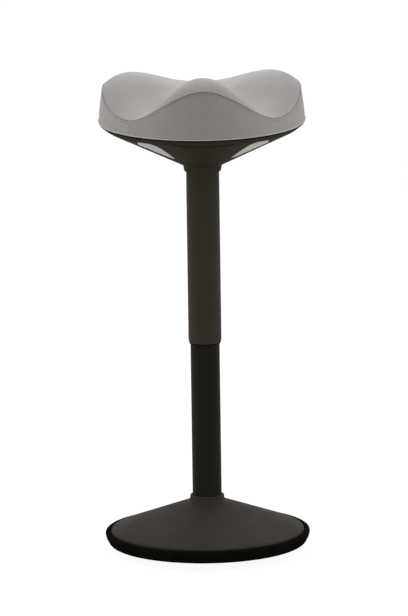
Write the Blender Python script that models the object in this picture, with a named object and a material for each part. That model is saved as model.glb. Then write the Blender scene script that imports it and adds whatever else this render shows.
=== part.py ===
"""Balance chair: a saddle seat on a gas-lift column that rocks on a domed, weighted base.

The front of the seat faces -Y and the column stands on the Z axis.
"""
import math

import bmesh
import bpy
from mathutils import Vector

# Driving dimensions, in metres and degrees.
FIT = 0.0003
CUT_OVERRUN = 0.010
BLIND_SKIN = 0.0016
TIP_GAP = 0.0006

# Rocking foot.
SOLE_RADIUS = 0.186
SOLE_THICKNESS = 0.006
ROCK_RADIUS = 1.0
FLAT_RADIUS = 0.055
RIM_HEIGHT = 0.0372
RIM_WIDTH = 0.0105
RIM_FLARE = 0.008
RIM_ROUND = 0.003
RIM_BREAK = 0.0012
LEDGE_WIDTH = 0.008
LEDGE_DEPTH = 0.006
COVER_THICKNESS = 0.0025
COVER_SLOPE = 0.372
COVER_PROUD = 0.0036
COVER_CHAMFER = 0.0032
COVER_LIP = 0.0005
COVER_LIP_WIDTH = 0.002
COVER_HOLE_GAP = 0.0025
COLLAR_HEIGHT = 0.0118
COLLAR_WALL = 0.0045
COLLAR_FLARE = 0.0070
COLLAR_ROUND = 0.0012
COLLAR_MARGIN = 0.0015
WEIGHT_RADIUS = 0.140
WEIGHT_EDGE = 0.004
WEIGHT_BORE = 0.014
WEIGHT_CHAMFER = 0.003
HUB_FLANGE_RADIUS = 0.062
HUB_FLANGE = 0.005
HUB_WALL = 0.009
HUB_DRAFT = 0.002
HUB_HEADROOM = 0.012

# Column.
STANDPIPE_RADIUS = 0.0265
STANDPIPE_WALL = 0.002
STANDPIPE_TOP = 0.426
FOOT_DEPTH = 0.008
FOOT_PLATE = 0.004
FOOT_TAPER = 0.0015
FOOT_TAPER_REACH = 0.005
FOOT_BLEND = 0.010
BUSH_LENGTH = 0.100
BUSH_RIM = 0.002
BUSH_RISE = 0.001
WASHER = 0.0015
WASHER_RADIUS = 0.012
CAGE = 0.003
CAGE_RADIUS = 0.0115
BUFFER_HEIGHT = 0.016
BUFFER_RADIUS = 0.013
CLIP = 0.0022
CLIP_RADIUS = 0.0085
SLEEVE_STEP = 0.0035
SLEEVE_PLAY = 0.0013
SLEEVE_BOTTOM = 0.384
SLEEVE_MOUTH = 0.003
SLEEVE_MOUTH_INSET = 0.0012
CYLINDER_RADIUS = 0.014
CYLINDER_WALL = 0.002
CYLINDER_BOTTOM = 0.325
CYLINDER_LIP = 0.0025
CYLINDER_CRIMP = 0.0017
CYLINDER_HEAD = 0.005
CYLINDER_TAPER = 0.001
GLAND_LENGTH = 0.0144
PISTON_LENGTH = 0.010
ROD_RADIUS = 0.005
ROD_STEP = 0.001
ROD_TIP = 0.003
VALVE_RADIUS = 0.004
VALVE_ROUND = 0.0015
VALVE_DEPTH = 0.012
VALVE_REACH = 0.0096

# Pan and bracket.
NECK_BOTTOM = 0.7027
NECK_HEIGHT = 0.0113
NECK_WALL = 0.0050
NECK_ROUND = 0.003
PAN_RADIUS = 0.186
PAN_SLOPE = 0.493
PAN_THICKNESS = 0.0033
PAN_LIP_WIDTH = 0.012
PAN_LIP_RISE = 0.0114
PAN_LIP_WALL = 0.0028
PAN_LIP_BREAK = 0.0008
PAN_LIP_CHAMFER = 0.0015
PAN_LIP_STEP = 0.001
POST_RADIUS = 0.0078
PAN_SCREW_DEPTH = 0.009
PAN_SCREW_ANGLES = (-155.0, -100.0, 100.0, 155.0)
RECESS_ANGLE = 19.0
RECESS_INNER = 0.022
RECESS_OUTER = 0.006
RECESS_DEPTH = 0.0020
PLATE_RISE = 0.0321
PLATE_THICKNESS = 0.0025
WALL_X = 0.045
WALL_FRONT = -0.048
WALL_REAR = 0.060
FLANGE_X = 0.075
SOCKET_WALL = 0.006
SOCKET_DRAFT = 0.001
SOCKET_DROP = 0.001
BRACKET_SCREW_X = 0.062
BRACKET_SCREW_FRONT = -0.034
BRACKET_SCREW_REAR = 0.046

# Screws, as (head radius, head height) and shank radius.
SOLE_SCREW_HEAD = (0.005, 0.0022)
SOLE_SCREW_SHANK = 0.002
HUB_SCREW_HEAD = (0.005, 0.004)
HUB_SCREW_SHANK = 0.003
BRACKET_SCREW_HEAD = (0.005, 0.003)
BRACKET_SCREW_SHANK = 0.0025
PAN_SCREW_HEAD = (0.005, 0.003)
PAN_SCREW_SHANK = 0.002

# Seat; the heights are counted from the lower edge of the side band.
SEAT_OVERHANG = 0.0015
SEAM_INSET = 0.0065
SEAM_GAP = 0.0006
SEAT_SHADOW_GAP = 0.0036
SEAT_CENTRE = 0.0541
POMMEL_TOP = 0.1020
POMMEL_SEAM = 0.0851
POMMEL_BREADTH = 1.2
VALLEY_ANGLE = 49.0
VALLEY_TOP = 0.0301
VALLEY_SEAM = 0.0232
WING_ANGLE = 103.0
WING_TOP = 0.0818
WING_SEAM = 0.0611
REAR_TOP = 0.0428
REAR_SEAM = 0.0336
CREST_SHARE = 0.80
FALL_SHARE = 0.70
FALL_POWER = 2.5
SIDE_POWER = 1.6
CLOTH = 0.0014
TURN_IN = 0.011
HEM_RADIUS = 0.0014
BOARD_THICKNESS = 0.012
BOARD_INSET = 0.013
BOARD_LIFT = 0.0076
BOARD_CHAMFER = 0.0015

# Release lever.
LEVER_ARM = 0.030
LEVER_PLATE = 0.003
PADDLE_GAP = 0.0006
PADDLE_THICKNESS = 0.0030
PADDLE_MARGIN = 0.0045
PADDLE_EDGE_GAP = 0.0015
WINDOW_GAP = 0.0014
STUD_RADIUS = 0.003
STUD_HEIGHT = 0.0066
STUD_HEAD = 0.0015
PIVOT_RADIUS = 0.003
PIN_OVERHANG = 0.003
BARREL_RADIUS = 0.006
BARREL_DROP = 0.0031
TONGUE_WIDTH = 0.014
TONGUE_TAIL = 0.008
YOKE_GAP = 0.003
YOKE_FRONT_GAP = 0.005
YOKE_WEB = 0.011
YOKE_EAR = 0.012
YOKE_EAR_REAR = 0.004
YOKE_EAR_TIP = 0.001
NOSE_RADIUS = 0.005
NOSE_ROUND = 0.002

# Mesh fineness.
SEAT_SIDES = 48
PAN_SIDES = 48
BASE_SIDES = 40
TUBE_SIDES = 24
INNER_SIDES = 16
ROUND_SIDES = 12
SCREW_SIDES = 8


def dome(radius):
    """Underside of the sole: a flat spot, then a large ball."""
    if radius <= FLAT_RADIUS:
        return 0.0
    return (radius ** 2 - FLAT_RADIUS ** 2) / (2.0 * ROCK_RADIUS)


# Sizes of the base that follow from the dimensions above.
FLOOR_TOP = SOLE_THICKNESS
WEIGHT_LIFT = SOLE_THICKNESS + FIT
WEIGHT_TOP = WEIGHT_LIFT + dome(WEIGHT_RADIUS) + WEIGHT_EDGE
COVER_RADIUS = SOLE_RADIUS - RIM_WIDTH
COVER_SHOULDER = COVER_RADIUS - COVER_CHAMFER
LEDGE_HEIGHT = RIM_HEIGHT - LEDGE_DEPTH
COVER_EDGE = RIM_HEIGHT + COVER_PROUD
COLLAR_RADIUS = STANDPIPE_RADIUS + COLLAR_WALL
COLLAR_FOOT_RADIUS = COLLAR_RADIUS + COLLAR_FLARE
COVER_TOP_RADIUS = COLLAR_FOOT_RADIUS + COLLAR_MARGIN
COVER_TOP = COVER_EDGE + (COVER_SHOULDER - COVER_TOP_RADIUS) * COVER_SLOPE
HUB_RADIUS = STANDPIPE_RADIUS + HUB_WALL
HUB_BOTTOM = WEIGHT_TOP + FIT
HUB_TOP = COVER_TOP - HUB_HEADROOM
STANDPIPE_BOTTOM = HUB_BOTTOM + FOOT_DEPTH
FOOT_PLATE_TOP = STANDPIPE_BOTTOM + FOOT_PLATE
FOOT_TAPER_TOP = HUB_TOP + FOOT_TAPER_REACH
LOWER_WASHER_Z = FOOT_PLATE_TOP + FIT
CAGE_Z = LOWER_WASHER_Z + WASHER + FIT
UPPER_WASHER_Z = CAGE_Z + CAGE + FIT
SHOULDER_Z = UPPER_WASHER_Z + WASHER + FIT
ROD_FOOT_RADIUS = ROD_RADIUS - ROD_STEP
HUB_SCREW_RADIUS = 0.5 * (HUB_RADIUS + HUB_FLANGE_RADIUS)
SOLE_SCREW_RADIUS = 0.78 * WEIGHT_RADIUS
SOLE_SCREW_SEAT = dome(SOLE_SCREW_RADIUS) + 0.55 * SOLE_THICKNESS

# Sizes of the column and the seat that follow.
GLAND_BOTTOM = CYLINDER_BOTTOM + CYLINDER_CRIMP + FIT
GLAND_TOP = GLAND_BOTTOM + GLAND_LENGTH
SLEEVE_RADIUS = STANDPIPE_RADIUS + SLEEVE_STEP
NECK_RADIUS = SLEEVE_RADIUS + NECK_WALL
CONE_BOTTOM = NECK_BOTTOM + NECK_HEIGHT
LIP_RADIUS = PAN_RADIUS - PAN_LIP_WIDTH
PAN_TOP = CONE_BOTTOM + (LIP_RADIUS - NECK_RADIUS) * PAN_SLOPE + PAN_LIP_RISE
PAN_SCREW_RADIUS = 0.75 * PAN_RADIUS
SEAT_EDGE = PAN_TOP + SEAT_SHADOW_GAP
SEAT_RADIUS = PAN_RADIUS + SEAT_OVERHANG
SEAM_RADIUS = SEAT_RADIUS - SEAM_INSET
BOARD_RADIUS = PAN_RADIUS - BOARD_INSET
BOARD_BOTTOM = SEAT_EDGE + BOARD_LIFT
BOARD_TOP = BOARD_BOTTOM + BOARD_THICKNESS
FLANGE_TOP = BOARD_BOTTOM - FIT
FLANGE_BOTTOM = FLANGE_TOP - PLATE_THICKNESS
PLATE_BOTTOM = CONE_BOTTOM + PLATE_RISE
PLATE_TOP = PLATE_BOTTOM + PLATE_THICKNESS
SOCKET_TOP = PLATE_TOP - SOCKET_DROP
VALVE_TOP = PLATE_TOP + VALVE_REACH
BRACKET_SCREWS = [(side * BRACKET_SCREW_X, y) for y in (BRACKET_SCREW_FRONT, BRACKET_SCREW_REAR)
                  for side in (-1.0, 1.0)]

# Plan outline of the right-hand release paddle, as shares of the pan's radius.
PADDLE = ((0.640, -0.655), (0.585, -0.716), (0.520, -0.757), (0.455, -0.728), (0.390, -0.632),
          (0.330, -0.505), (0.270, -0.366), (0.330, -0.364), (0.420, -0.412), (0.515, -0.472),
          (0.622, -0.515))
PADDLE_RADIUS = LIP_RADIUS - PADDLE_EDGE_GAP
STUD = (0.425 * PAN_RADIUS, -0.500 * PAN_RADIUS)
STUD_FOOT = CONE_BOTTOM + (math.hypot(*STUD) - NECK_RADIUS) * PAN_SLOPE + PAN_THICKNESS + PADDLE_GAP
LEVER_BOTTOM = STUD_FOOT + PADDLE_THICKNESS + STUD_HEIGHT
PIVOT = Vector((0.0, -LEVER_ARM, LEVER_BOTTOM - BARREL_DROP))


def clear_scene():
    for obj in list(bpy.data.objects):
        bpy.data.objects.remove(obj, do_unlink=True)


def make_material(name, colour, roughness, metallic=0.0):
    material = bpy.data.materials.new(name)
    material.use_nodes = True
    shader = material.node_tree.nodes["Principled BSDF"]
    shader.inputs["Base Color"].default_value = (*colour, 1.0)
    shader.inputs["Roughness"].default_value = roughness
    shader.inputs["Metallic"].default_value = metallic
    return material


def make_materials():
    return {
        "cloth": make_material("grey_cloth", (0.36, 0.34, 0.33), 0.92),
        "hem": make_material("hem_cloth", (0.47, 0.45, 0.43), 0.9),
        "foam": make_material("foam", (0.82, 0.76, 0.55), 0.95),
        "board": make_material("plywood", (0.56, 0.39, 0.23), 0.7),
        "pan": make_material("black_plastic", (0.022, 0.020, 0.017), 0.5),
        "paddle": make_material("light_grey_plastic", (0.58, 0.56, 0.52), 0.45),
        "sleeve": make_material("brown_black_paint", (0.032, 0.028, 0.024), 0.5, 0.1),
        "standpipe": make_material("black_paint", (0.013, 0.012, 0.010), 0.5, 0.1),
        "cover": make_material("dark_grey_paint", (0.048, 0.043, 0.038), 0.6, 0.1),
        "collar": make_material("dark_plastic", (0.030, 0.027, 0.024), 0.55),
        "rubber": make_material("black_rubber", (0.008, 0.008, 0.007), 0.8),
        "iron": make_material("cast_iron", (0.10, 0.10, 0.10), 0.7, 0.8),
        "steel": make_material("zinc_steel", (0.55, 0.55, 0.54), 0.35, 1.0),
        "chrome": make_material("polished_rod", (0.75, 0.75, 0.76), 0.12, 1.0),
        "bush": make_material("white_nylon", (0.72, 0.71, 0.67), 0.5),
    }


def make_object(name, vertices, faces, material, smooth=30.0):
    mesh = bpy.data.meshes.new(name)
    mesh.from_pydata([tuple(v) for v in vertices], [], faces)
    work = bmesh.new()
    work.from_mesh(mesh)
    bmesh.ops.recalc_face_normals(work, faces=work.faces)
    work.to_mesh(mesh)
    work.free()
    obj = bpy.data.objects.new(name, mesh)
    bpy.context.collection.objects.link(obj)
    if material is not None:
        mesh.materials.append(material)
    shade(obj, smooth)
    return obj


def shade(obj, angle):
    for polygon in obj.data.polygons:
        polygon.use_smooth = True
    obj.data.set_sharp_from_angle(angle=math.radians(angle))


def set_origin(obj, point):
    point = Vector(point)
    for vertex in obj.data.vertices:
        vertex.co -= point
    obj.location = point
    return obj


def polar(angle, radius, z):
    """Point at an angle in degrees from the front, turning towards +X."""
    turn = math.radians(angle)
    return Vector((radius * math.sin(turn), -radius * math.cos(turn), z))


def lathe(name, profile, sides, material, smooth=30.0):
    """Turn a closed outline of (radius, height) points about the Z axis."""
    vertices = []
    rings = []
    for radius, z in profile:
        if radius < 1e-9:
            rings.append([len(vertices)] * sides)
            vertices.append(Vector((0.0, 0.0, z)))
            continue
        rings.append(list(range(len(vertices), len(vertices) + sides)))
        for side in range(sides):
            vertices.append(polar(360.0 * side / sides, radius, z))
    faces = []
    for index, here in enumerate(rings):
        after = rings[(index + 1) % len(rings)]
        for side in range(sides):
            turn = (side + 1) % sides
            corners = [here[side], here[turn], after[turn], after[side]]
            corners = list(dict.fromkeys(corners))
            if len(corners) > 2:
                faces.append(corners)
    obj = make_object(name, vertices, faces, material, smooth)
    return set_origin(obj, (0.0, 0.0, min(z for radius, z in profile)))


def prism(name, outline, low, high, material):
    """Stand a plan outline up between two heights."""
    count = len(outline)
    vertices = [(x, y, low) for x, y in outline] + [(x, y, high) for x, y in outline]
    faces = [list(range(count)), list(range(count, 2 * count))]
    for index in range(count):
        after = (index + 1) % count
        faces.append([index, after, count + after, count + index])
    return make_object(name, vertices, faces, material)


def round_bar(name, centre, axis, radius, length, sides, material=None):
    """Straight bar from a centre point along an axis."""
    axis = Vector(axis).normalized()
    turn = Vector((0.0, 0.0, 1.0)).rotation_difference(axis)
    vertices = []
    for end in (0.0, length):
        for side in range(sides):
            spot = polar(360.0 * side / sides, radius, end)
            vertices.append(Vector(centre) + turn @ spot)
    faces = [list(range(sides)), list(range(sides, 2 * sides))]
    for side in range(sides):
        after = (side + 1) % sides
        faces.append([side, after, sides + after, sides + side])
    return make_object(name, vertices, faces, material)


def drill(foot, radius, length):
    """Upright cutter for a round hole."""
    return round_bar("hole", foot, (0, 0, 1), radius, length, SCREW_SIDES)


def combine(obj, tools, operation):
    """Join or cut a body with tool bodies, which are used up."""
    for tool in tools:
        step = obj.modifiers.new("combine", "BOOLEAN")
        step.operation = operation
        step.solver = "EXACT"
        step.object = tool
    graph = bpy.context.evaluated_depsgraph_get()
    result = bpy.data.meshes.new_from_object(obj.evaluated_get(graph))
    obj.modifiers.clear()
    result.name = obj.name
    obj.data = result
    shade(obj, 30.0)
    for tool in tools:
        bpy.data.objects.remove(tool, do_unlink=True)
    return obj


def screw(name, seat, upward, head, shank, material):
    """Screw whose head rests on a seat point; head and shank are (radius, length)."""
    head_radius, head_height = head
    shank_radius, shank_length = shank
    socket = head_radius * 0.5
    way = 1.0 if upward else -1.0
    profile = [(0.0, -head_height * 0.4), (socket, -head_height * 0.4), (socket, -head_height),
               (head_radius * 0.9, -head_height), (head_radius, -head_height * 0.8),
               (head_radius, 0.0), (shank_radius, 0.0), (shank_radius, shank_length),
               (0.0, shank_length)]
    profile = [(radius, z * way) for radius, z in profile]
    obj = lathe(name, profile, SCREW_SIDES, material)
    set_origin(obj, -obj.location)
    obj.location = seat
    return obj


def spread(start, end, steps):
    return [start + (end - start) * step / steps for step in range(steps + 1)]


def build_sole(mats):
    foot = SOLE_RADIUS - RIM_FLARE
    inner = COVER_RADIUS - LEDGE_WIDTH
    under = [(radius, dome(radius)) for radius in spread(FLAT_RADIUS, WEIGHT_RADIUS, 3)]
    under += [(foot, dome(foot))]
    rim = [(SOLE_RADIUS - 0.22 * RIM_FLARE, 0.70 * RIM_HEIGHT), (SOLE_RADIUS, RIM_HEIGHT - 1.3 * RIM_ROUND),
           (SOLE_RADIUS - 0.3 * RIM_ROUND, RIM_HEIGHT - 0.3 * RIM_ROUND),
           (SOLE_RADIUS - RIM_ROUND, RIM_HEIGHT), (COVER_RADIUS + RIM_BREAK, RIM_HEIGHT),
           (COVER_RADIUS + FIT, RIM_HEIGHT - RIM_BREAK), (COVER_RADIUS + FIT, LEDGE_HEIGHT),
           (inner, LEDGE_HEIGHT)]
    floor = [(inner, dome(inner) + SOLE_THICKNESS)]
    floor += [(radius, dome(radius) + SOLE_THICKNESS) for radius in spread(WEIGHT_RADIUS, FLAT_RADIUS, 3)]
    profile = [(0.0, 0.0)] + under + rim + floor + [(0.0, FLOOR_TOP)]
    sole = lathe("rocker_sole", profile, BASE_SIDES, mats["rubber"])
    cutters = []
    for index in range(4):
        spot = polar(90.0 * index, SOLE_SCREW_RADIUS, -CUT_OVERRUN)
        counterbore = SOLE_SCREW_SEAT + CUT_OVERRUN
        cutters.append(drill(spot, SOLE_SCREW_HEAD[0] + FIT, counterbore))
        cutters.append(drill(spot, SOLE_SCREW_SHANK + FIT, counterbore + SOLE_THICKNESS + CUT_OVERRUN))
    return combine(sole, cutters, "DIFFERENCE")


def build_sole_screws(mats):
    seat = SOLE_SCREW_SEAT - FIT
    length = WEIGHT_TOP - BLIND_SKIN - TIP_GAP - seat
    screws = []
    for index in range(4):
        spot = polar(90.0 * index, SOLE_SCREW_RADIUS, seat)
        screws.append(screw(f"sole_screw_{index + 1}", spot, True, SOLE_SCREW_HEAD,
                            (SOLE_SCREW_SHANK, length), mats["steel"]))
    return screws


def build_weight(mats):
    under = [(radius, dome(radius) + WEIGHT_LIFT) for radius in spread(FLAT_RADIUS, WEIGHT_RADIUS, 3)]
    profile = [(WEIGHT_BORE, WEIGHT_LIFT)] + under
    profile += [(WEIGHT_RADIUS, WEIGHT_TOP - WEIGHT_CHAMFER), (WEIGHT_RADIUS - WEIGHT_CHAMFER, WEIGHT_TOP),
                (WEIGHT_BORE, WEIGHT_TOP)]
    weight = lathe("base_weight", profile, BASE_SIDES, mats["iron"])
    cutters = []
    for index in range(4):
        spot = polar(90.0 * index, SOLE_SCREW_RADIUS, 0.0)
        cutters.append(drill(spot, SOLE_SCREW_SHANK + FIT, WEIGHT_TOP - BLIND_SKIN))
        spot = polar(45.0 + 90.0 * index, HUB_SCREW_RADIUS, WEIGHT_LIFT + BLIND_SKIN)
        cutters.append(drill(spot, HUB_SCREW_SHANK + FIT, WEIGHT_TOP))
    return combine(weight, cutters, "DIFFERENCE")


def foot_radius(z):
    """Outer radius of the standpipe, tapered where it sits in the hub."""
    share = (z - STANDPIPE_BOTTOM) / (FOOT_TAPER_TOP - STANDPIPE_BOTTOM)
    return STANDPIPE_RADIUS - FOOT_TAPER * (1.0 - min(1.0, max(0.0, share)))


def build_hub(mats):
    flange = HUB_BOTTOM + HUB_FLANGE
    profile = [(foot_radius(STANDPIPE_BOTTOM) + FIT, HUB_BOTTOM), (HUB_FLANGE_RADIUS, HUB_BOTTOM),
               (HUB_FLANGE_RADIUS, flange), (HUB_RADIUS, flange), (HUB_RADIUS - HUB_DRAFT, HUB_TOP),
               (foot_radius(HUB_TOP) + FIT, HUB_TOP), (foot_radius(STANDPIPE_BOTTOM) + FIT, STANDPIPE_BOTTOM)]
    hub = lathe("base_hub", profile, TUBE_SIDES, mats["steel"])
    cutters = []
    for index in range(4):
        spot = polar(45.0 + 90.0 * index, HUB_SCREW_RADIUS, HUB_BOTTOM - CUT_OVERRUN)
        cutters.append(drill(spot, HUB_SCREW_SHANK + FIT, HUB_FLANGE + 2.0 * CUT_OVERRUN))
    return combine(hub, cutters, "DIFFERENCE")


def build_hub_screws(mats):
    seat = HUB_BOTTOM + HUB_FLANGE + FIT
    length = seat - (WEIGHT_LIFT + BLIND_SKIN + TIP_GAP)
    screws = []
    for index in range(4):
        spot = polar(45.0 + 90.0 * index, HUB_SCREW_RADIUS, seat)
        screws.append(screw(f"hub_screw_{index + 1}", spot, False, HUB_SCREW_HEAD,
                            (HUB_SCREW_SHANK, length), mats["steel"]))
    return screws


def build_cover(mats):
    hole = STANDPIPE_RADIUS + COVER_HOLE_GAP
    inside = COVER_RADIUS - COVER_THICKNESS
    foot = LEDGE_HEIGHT + FIT
    lip = COVER_TOP + COVER_LIP
    drop = COVER_THICKNESS * math.hypot(1.0, COVER_SLOPE)
    profile = [(COVER_RADIUS, foot), (COVER_RADIUS, COVER_EDGE - COVER_CHAMFER), (COVER_SHOULDER, COVER_EDGE),
               (COVER_TOP_RADIUS, COVER_TOP), (COVER_TOP_RADIUS - COVER_LIP_WIDTH, lip), (hole, lip),
               (hole, COVER_TOP - drop), (COVER_TOP_RADIUS, COVER_TOP - drop), (inside, COVER_EDGE - drop),
               (inside, foot)]
    return lathe("base_cover", profile, BASE_SIDES, mats["cover"])


def build_collar(mats):
    low = COVER_TOP + COVER_LIP + FIT
    high = low + COLLAR_HEIGHT
    inner = STANDPIPE_RADIUS + FIT
    profile = [(inner, low), (COLLAR_FOOT_RADIUS, low)]
    for share in (0.5, 0.8, 1.0):
        height = 0.6 * COLLAR_HEIGHT * share ** 2
        profile.append((COLLAR_FOOT_RADIUS - COLLAR_FLARE * share ** 0.5, low + height))
    profile += [(COLLAR_RADIUS, high - COLLAR_ROUND), (COLLAR_RADIUS - COLLAR_ROUND, high), (inner, high)]
    return lathe("base_collar", profile, TUBE_SIDES, mats["collar"])


def build_standpipe(mats):
    bore = STANDPIPE_RADIUS - STANDPIPE_WALL
    foot = bore - FOOT_TAPER
    hole = ROD_FOOT_RADIUS + 2.0 * FIT
    profile = [(hole, STANDPIPE_BOTTOM), (foot_radius(STANDPIPE_BOTTOM), STANDPIPE_BOTTOM),
               (STANDPIPE_RADIUS, FOOT_TAPER_TOP), (STANDPIPE_RADIUS, STANDPIPE_TOP), (bore, STANDPIPE_TOP),
               (bore, FOOT_TAPER_TOP + FOOT_BLEND), (foot, FOOT_TAPER_TOP), (foot, FOOT_PLATE_TOP),
               (hole, FOOT_PLATE_TOP)]
    return lathe("standpipe", profile, TUBE_SIDES, mats["standpipe"])


def build_guide_bush(mats):
    bore = CYLINDER_RADIUS + FIT
    outer = STANDPIPE_RADIUS - STANDPIPE_WALL - FIT
    foot = STANDPIPE_TOP - BUSH_LENGTH
    rim = STANDPIPE_TOP + FIT
    profile = [(bore, foot), (outer, foot), (outer, rim), (STANDPIPE_RADIUS, rim),
               (STANDPIPE_RADIUS, rim + BUSH_RIM), (bore, rim + BUSH_RIM + BUSH_RISE)]
    return lathe("guide_bush", profile, TUBE_SIDES, mats["bush"])


def ring(name, inner, outer, low, height, material):
    profile = [(inner, low), (outer, low), (outer, low + height), (inner, low + height)]
    return lathe(name, profile, INNER_SIDES, material)


def build_thrust_stack(mats):
    bore = ROD_FOOT_RADIUS + FIT
    lower = ring("lower_washer", bore, WASHER_RADIUS, LOWER_WASHER_Z, WASHER, mats["steel"])
    cage = ring("bearing_cage", bore, CAGE_RADIUS, CAGE_Z, CAGE, mats["bush"])
    upper = ring("upper_washer", bore, WASHER_RADIUS, UPPER_WASHER_Z, WASHER, mats["steel"])
    buffer = ring("buffer", ROD_RADIUS + FIT, BUFFER_RADIUS, SHOULDER_Z, BUFFER_HEIGHT, mats["rubber"])
    clip = ring("retaining_clip", bore, CLIP_RADIUS, STANDPIPE_BOTTOM - FIT - CLIP, CLIP, mats["steel"])
    return lower, cage, upper, buffer, clip


def build_rod(mats):
    shoulder = GLAND_TOP + FIT
    tip = shoulder + PISTON_LENGTH + ROD_TIP
    profile = [(0.0, HUB_BOTTOM), (ROD_FOOT_RADIUS, HUB_BOTTOM), (ROD_FOOT_RADIUS, SHOULDER_Z),
               (ROD_RADIUS, SHOULDER_Z), (ROD_RADIUS, shoulder), (ROD_FOOT_RADIUS, shoulder),
               (ROD_FOOT_RADIUS, tip), (0.0, tip)]
    return lathe("piston_rod", profile, INNER_SIDES, mats["chrome"])


def build_piston(mats):
    outer = CYLINDER_RADIUS - CYLINDER_WALL - FIT
    return ring("piston", ROD_FOOT_RADIUS + FIT, outer, GLAND_TOP + 2.0 * FIT, PISTON_LENGTH, mats["bush"])


def build_cylinder(mats):
    bore = CYLINDER_RADIUS - CYLINDER_WALL
    lip = bore - CYLINDER_LIP
    crimp = CYLINDER_BOTTOM + CYLINDER_CRIMP
    head = SOCKET_TOP - CYLINDER_HEAD
    profile = [(lip, CYLINDER_BOTTOM), (CYLINDER_RADIUS, CYLINDER_BOTTOM), (CYLINDER_RADIUS, NECK_BOTTOM),
               (CYLINDER_RADIUS - CYLINDER_TAPER, SOCKET_TOP), (VALVE_RADIUS + FIT, SOCKET_TOP),
               (VALVE_RADIUS + FIT, head), (bore - CYLINDER_TAPER, head), (bore, NECK_BOTTOM), (bore, crimp),
               (lip, crimp)]
    return lathe("gas_cylinder", profile, INNER_SIDES, mats["standpipe"])


def build_gland(mats):
    outer = CYLINDER_RADIUS - CYLINDER_WALL - FIT
    return ring("rod_gland", ROD_RADIUS + FIT, outer, GLAND_BOTTOM, GLAND_LENGTH, mats["bush"])


def build_valve(mats):
    foot = PLATE_TOP - VALVE_DEPTH
    profile = [(0.0, foot), (VALVE_RADIUS, foot), (VALVE_RADIUS, VALVE_TOP - VALVE_ROUND),
               (VALVE_RADIUS - VALVE_ROUND, VALVE_TOP), (0.0, VALVE_TOP)]
    return lathe("valve_pin", profile, INNER_SIDES, mats["steel"])


def build_sleeve(mats):
    bore = STANDPIPE_RADIUS + SLEEVE_PLAY
    high = PLATE_BOTTOM - FIT
    profile = [(bore, SLEEVE_BOTTOM), (SLEEVE_RADIUS - SLEEVE_MOUTH_INSET, SLEEVE_BOTTOM),
               (SLEEVE_RADIUS, SLEEVE_BOTTOM + SLEEVE_MOUTH), (SLEEVE_RADIUS, high), (bore, high)]
    return lathe("sleeve", profile, TUBE_SIDES, mats["sleeve"])


def build_bracket(mats):
    inner = WALL_X - PLATE_THICKNESS
    low = FLANGE_BOTTOM
    section = [(-FLANGE_X, low), (-WALL_X, low), (-WALL_X, PLATE_BOTTOM), (WALL_X, PLATE_BOTTOM),
               (WALL_X, low), (FLANGE_X, low), (FLANGE_X, FLANGE_TOP), (inner, FLANGE_TOP),
               (inner, PLATE_TOP), (-inner, PLATE_TOP), (-inner, FLANGE_TOP), (-FLANGE_X, FLANGE_TOP)]
    count = len(section)
    vertices = [(x, WALL_FRONT, z) for x, z in section] + [(x, WALL_REAR, z) for x, z in section]
    faces = [list(range(count)), list(range(count, 2 * count))]
    for index in range(count):
        after = (index + 1) % count
        faces.append([index, after, count + after, count + index])
    bracket = make_object("seat_bracket", vertices, faces, mats["standpipe"])
    wall = CYLINDER_RADIUS + SOCKET_WALL
    socket = [(0.0, NECK_BOTTOM), (wall, NECK_BOTTOM), (wall + SOCKET_DRAFT, SOCKET_TOP), (0.0, SOCKET_TOP)]
    combine(bracket, [lathe("socket", socket, INNER_SIDES, None)], "UNION")
    lean = CYLINDER_TAPER * CUT_OVERRUN / (SOCKET_TOP - NECK_BOTTOM)
    wide = CYLINDER_RADIUS + FIT
    foot = NECK_BOTTOM - CUT_OVERRUN
    head = SOCKET_TOP + CUT_OVERRUN
    bore = [(0.0, foot), (wide + lean, foot), (wide - CYLINDER_TAPER - lean, head), (0.0, head)]
    cutters = [lathe("bore", bore, INNER_SIDES, None), pivot_hole()]
    for x, y in BRACKET_SCREWS:
        spot = (x, y, low - CUT_OVERRUN)
        cutters.append(drill(spot, BRACKET_SCREW_SHANK + FIT, PLATE_THICKNESS + 2.0 * CUT_OVERRUN))
    combine(bracket, cutters, "DIFFERENCE")
    return set_origin(bracket, (0.0, 0.0, NECK_BOTTOM))


def cross_bar(name, half, radius, sides, material=None):
    """Bar along the pivot, reaching equally far to both sides."""
    return round_bar(name, PIVOT - Vector((half, 0.0, 0.0)), (1, 0, 0), radius, 2.0 * half, sides, material)


def pivot_hole():
    return cross_bar("hole", FLANGE_X, PIVOT_RADIUS + FIT, SCREW_SIDES)


def build_bracket_screws(mats):
    seat = FLANGE_BOTTOM - FIT
    length = BOARD_TOP - BLIND_SKIN - TIP_GAP - seat
    screws = []
    for index, (x, y) in enumerate(BRACKET_SCREWS):
        screws.append(screw(f"bracket_screw_{index + 1}", (x, y, seat), True, BRACKET_SCREW_HEAD,
                            (BRACKET_SCREW_SHANK, length), mats["steel"]))
    return screws


def build_pivot_pin(mats):
    pin = cross_bar("pivot_pin", WALL_X + PIN_OVERHANG, PIVOT_RADIUS, SCREW_SIDES, mats["steel"])
    return set_origin(pin, PIVOT)


def cone_outside(radius):
    return CONE_BOTTOM + (radius - NECK_RADIUS) * PAN_SLOPE


def cone_inside(radius):
    return cone_outside(radius) + PAN_THICKNESS


def paddle_outline(side, grow):
    """Plan outline of one paddle, mirrored for the left side and grown outwards by a margin."""
    spots = [Vector(spot) * PAN_RADIUS for spot in PADDLE]
    outline = []
    for index, spot in enumerate(spots):
        before = (spot - spots[index - 1]).normalized()
        after = (spots[(index + 1) % len(spots)] - spot).normalized()
        square = Vector((before.y + after.y, -before.x - after.x))
        moved = spot - square * (2.0 * grow / square.length_squared)
        outline.append((side * moved.x, moved.y))
    return outline


def pan_screw_seat():
    return cone_outside(PAN_SCREW_RADIUS) + PAN_SCREW_DEPTH


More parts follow.
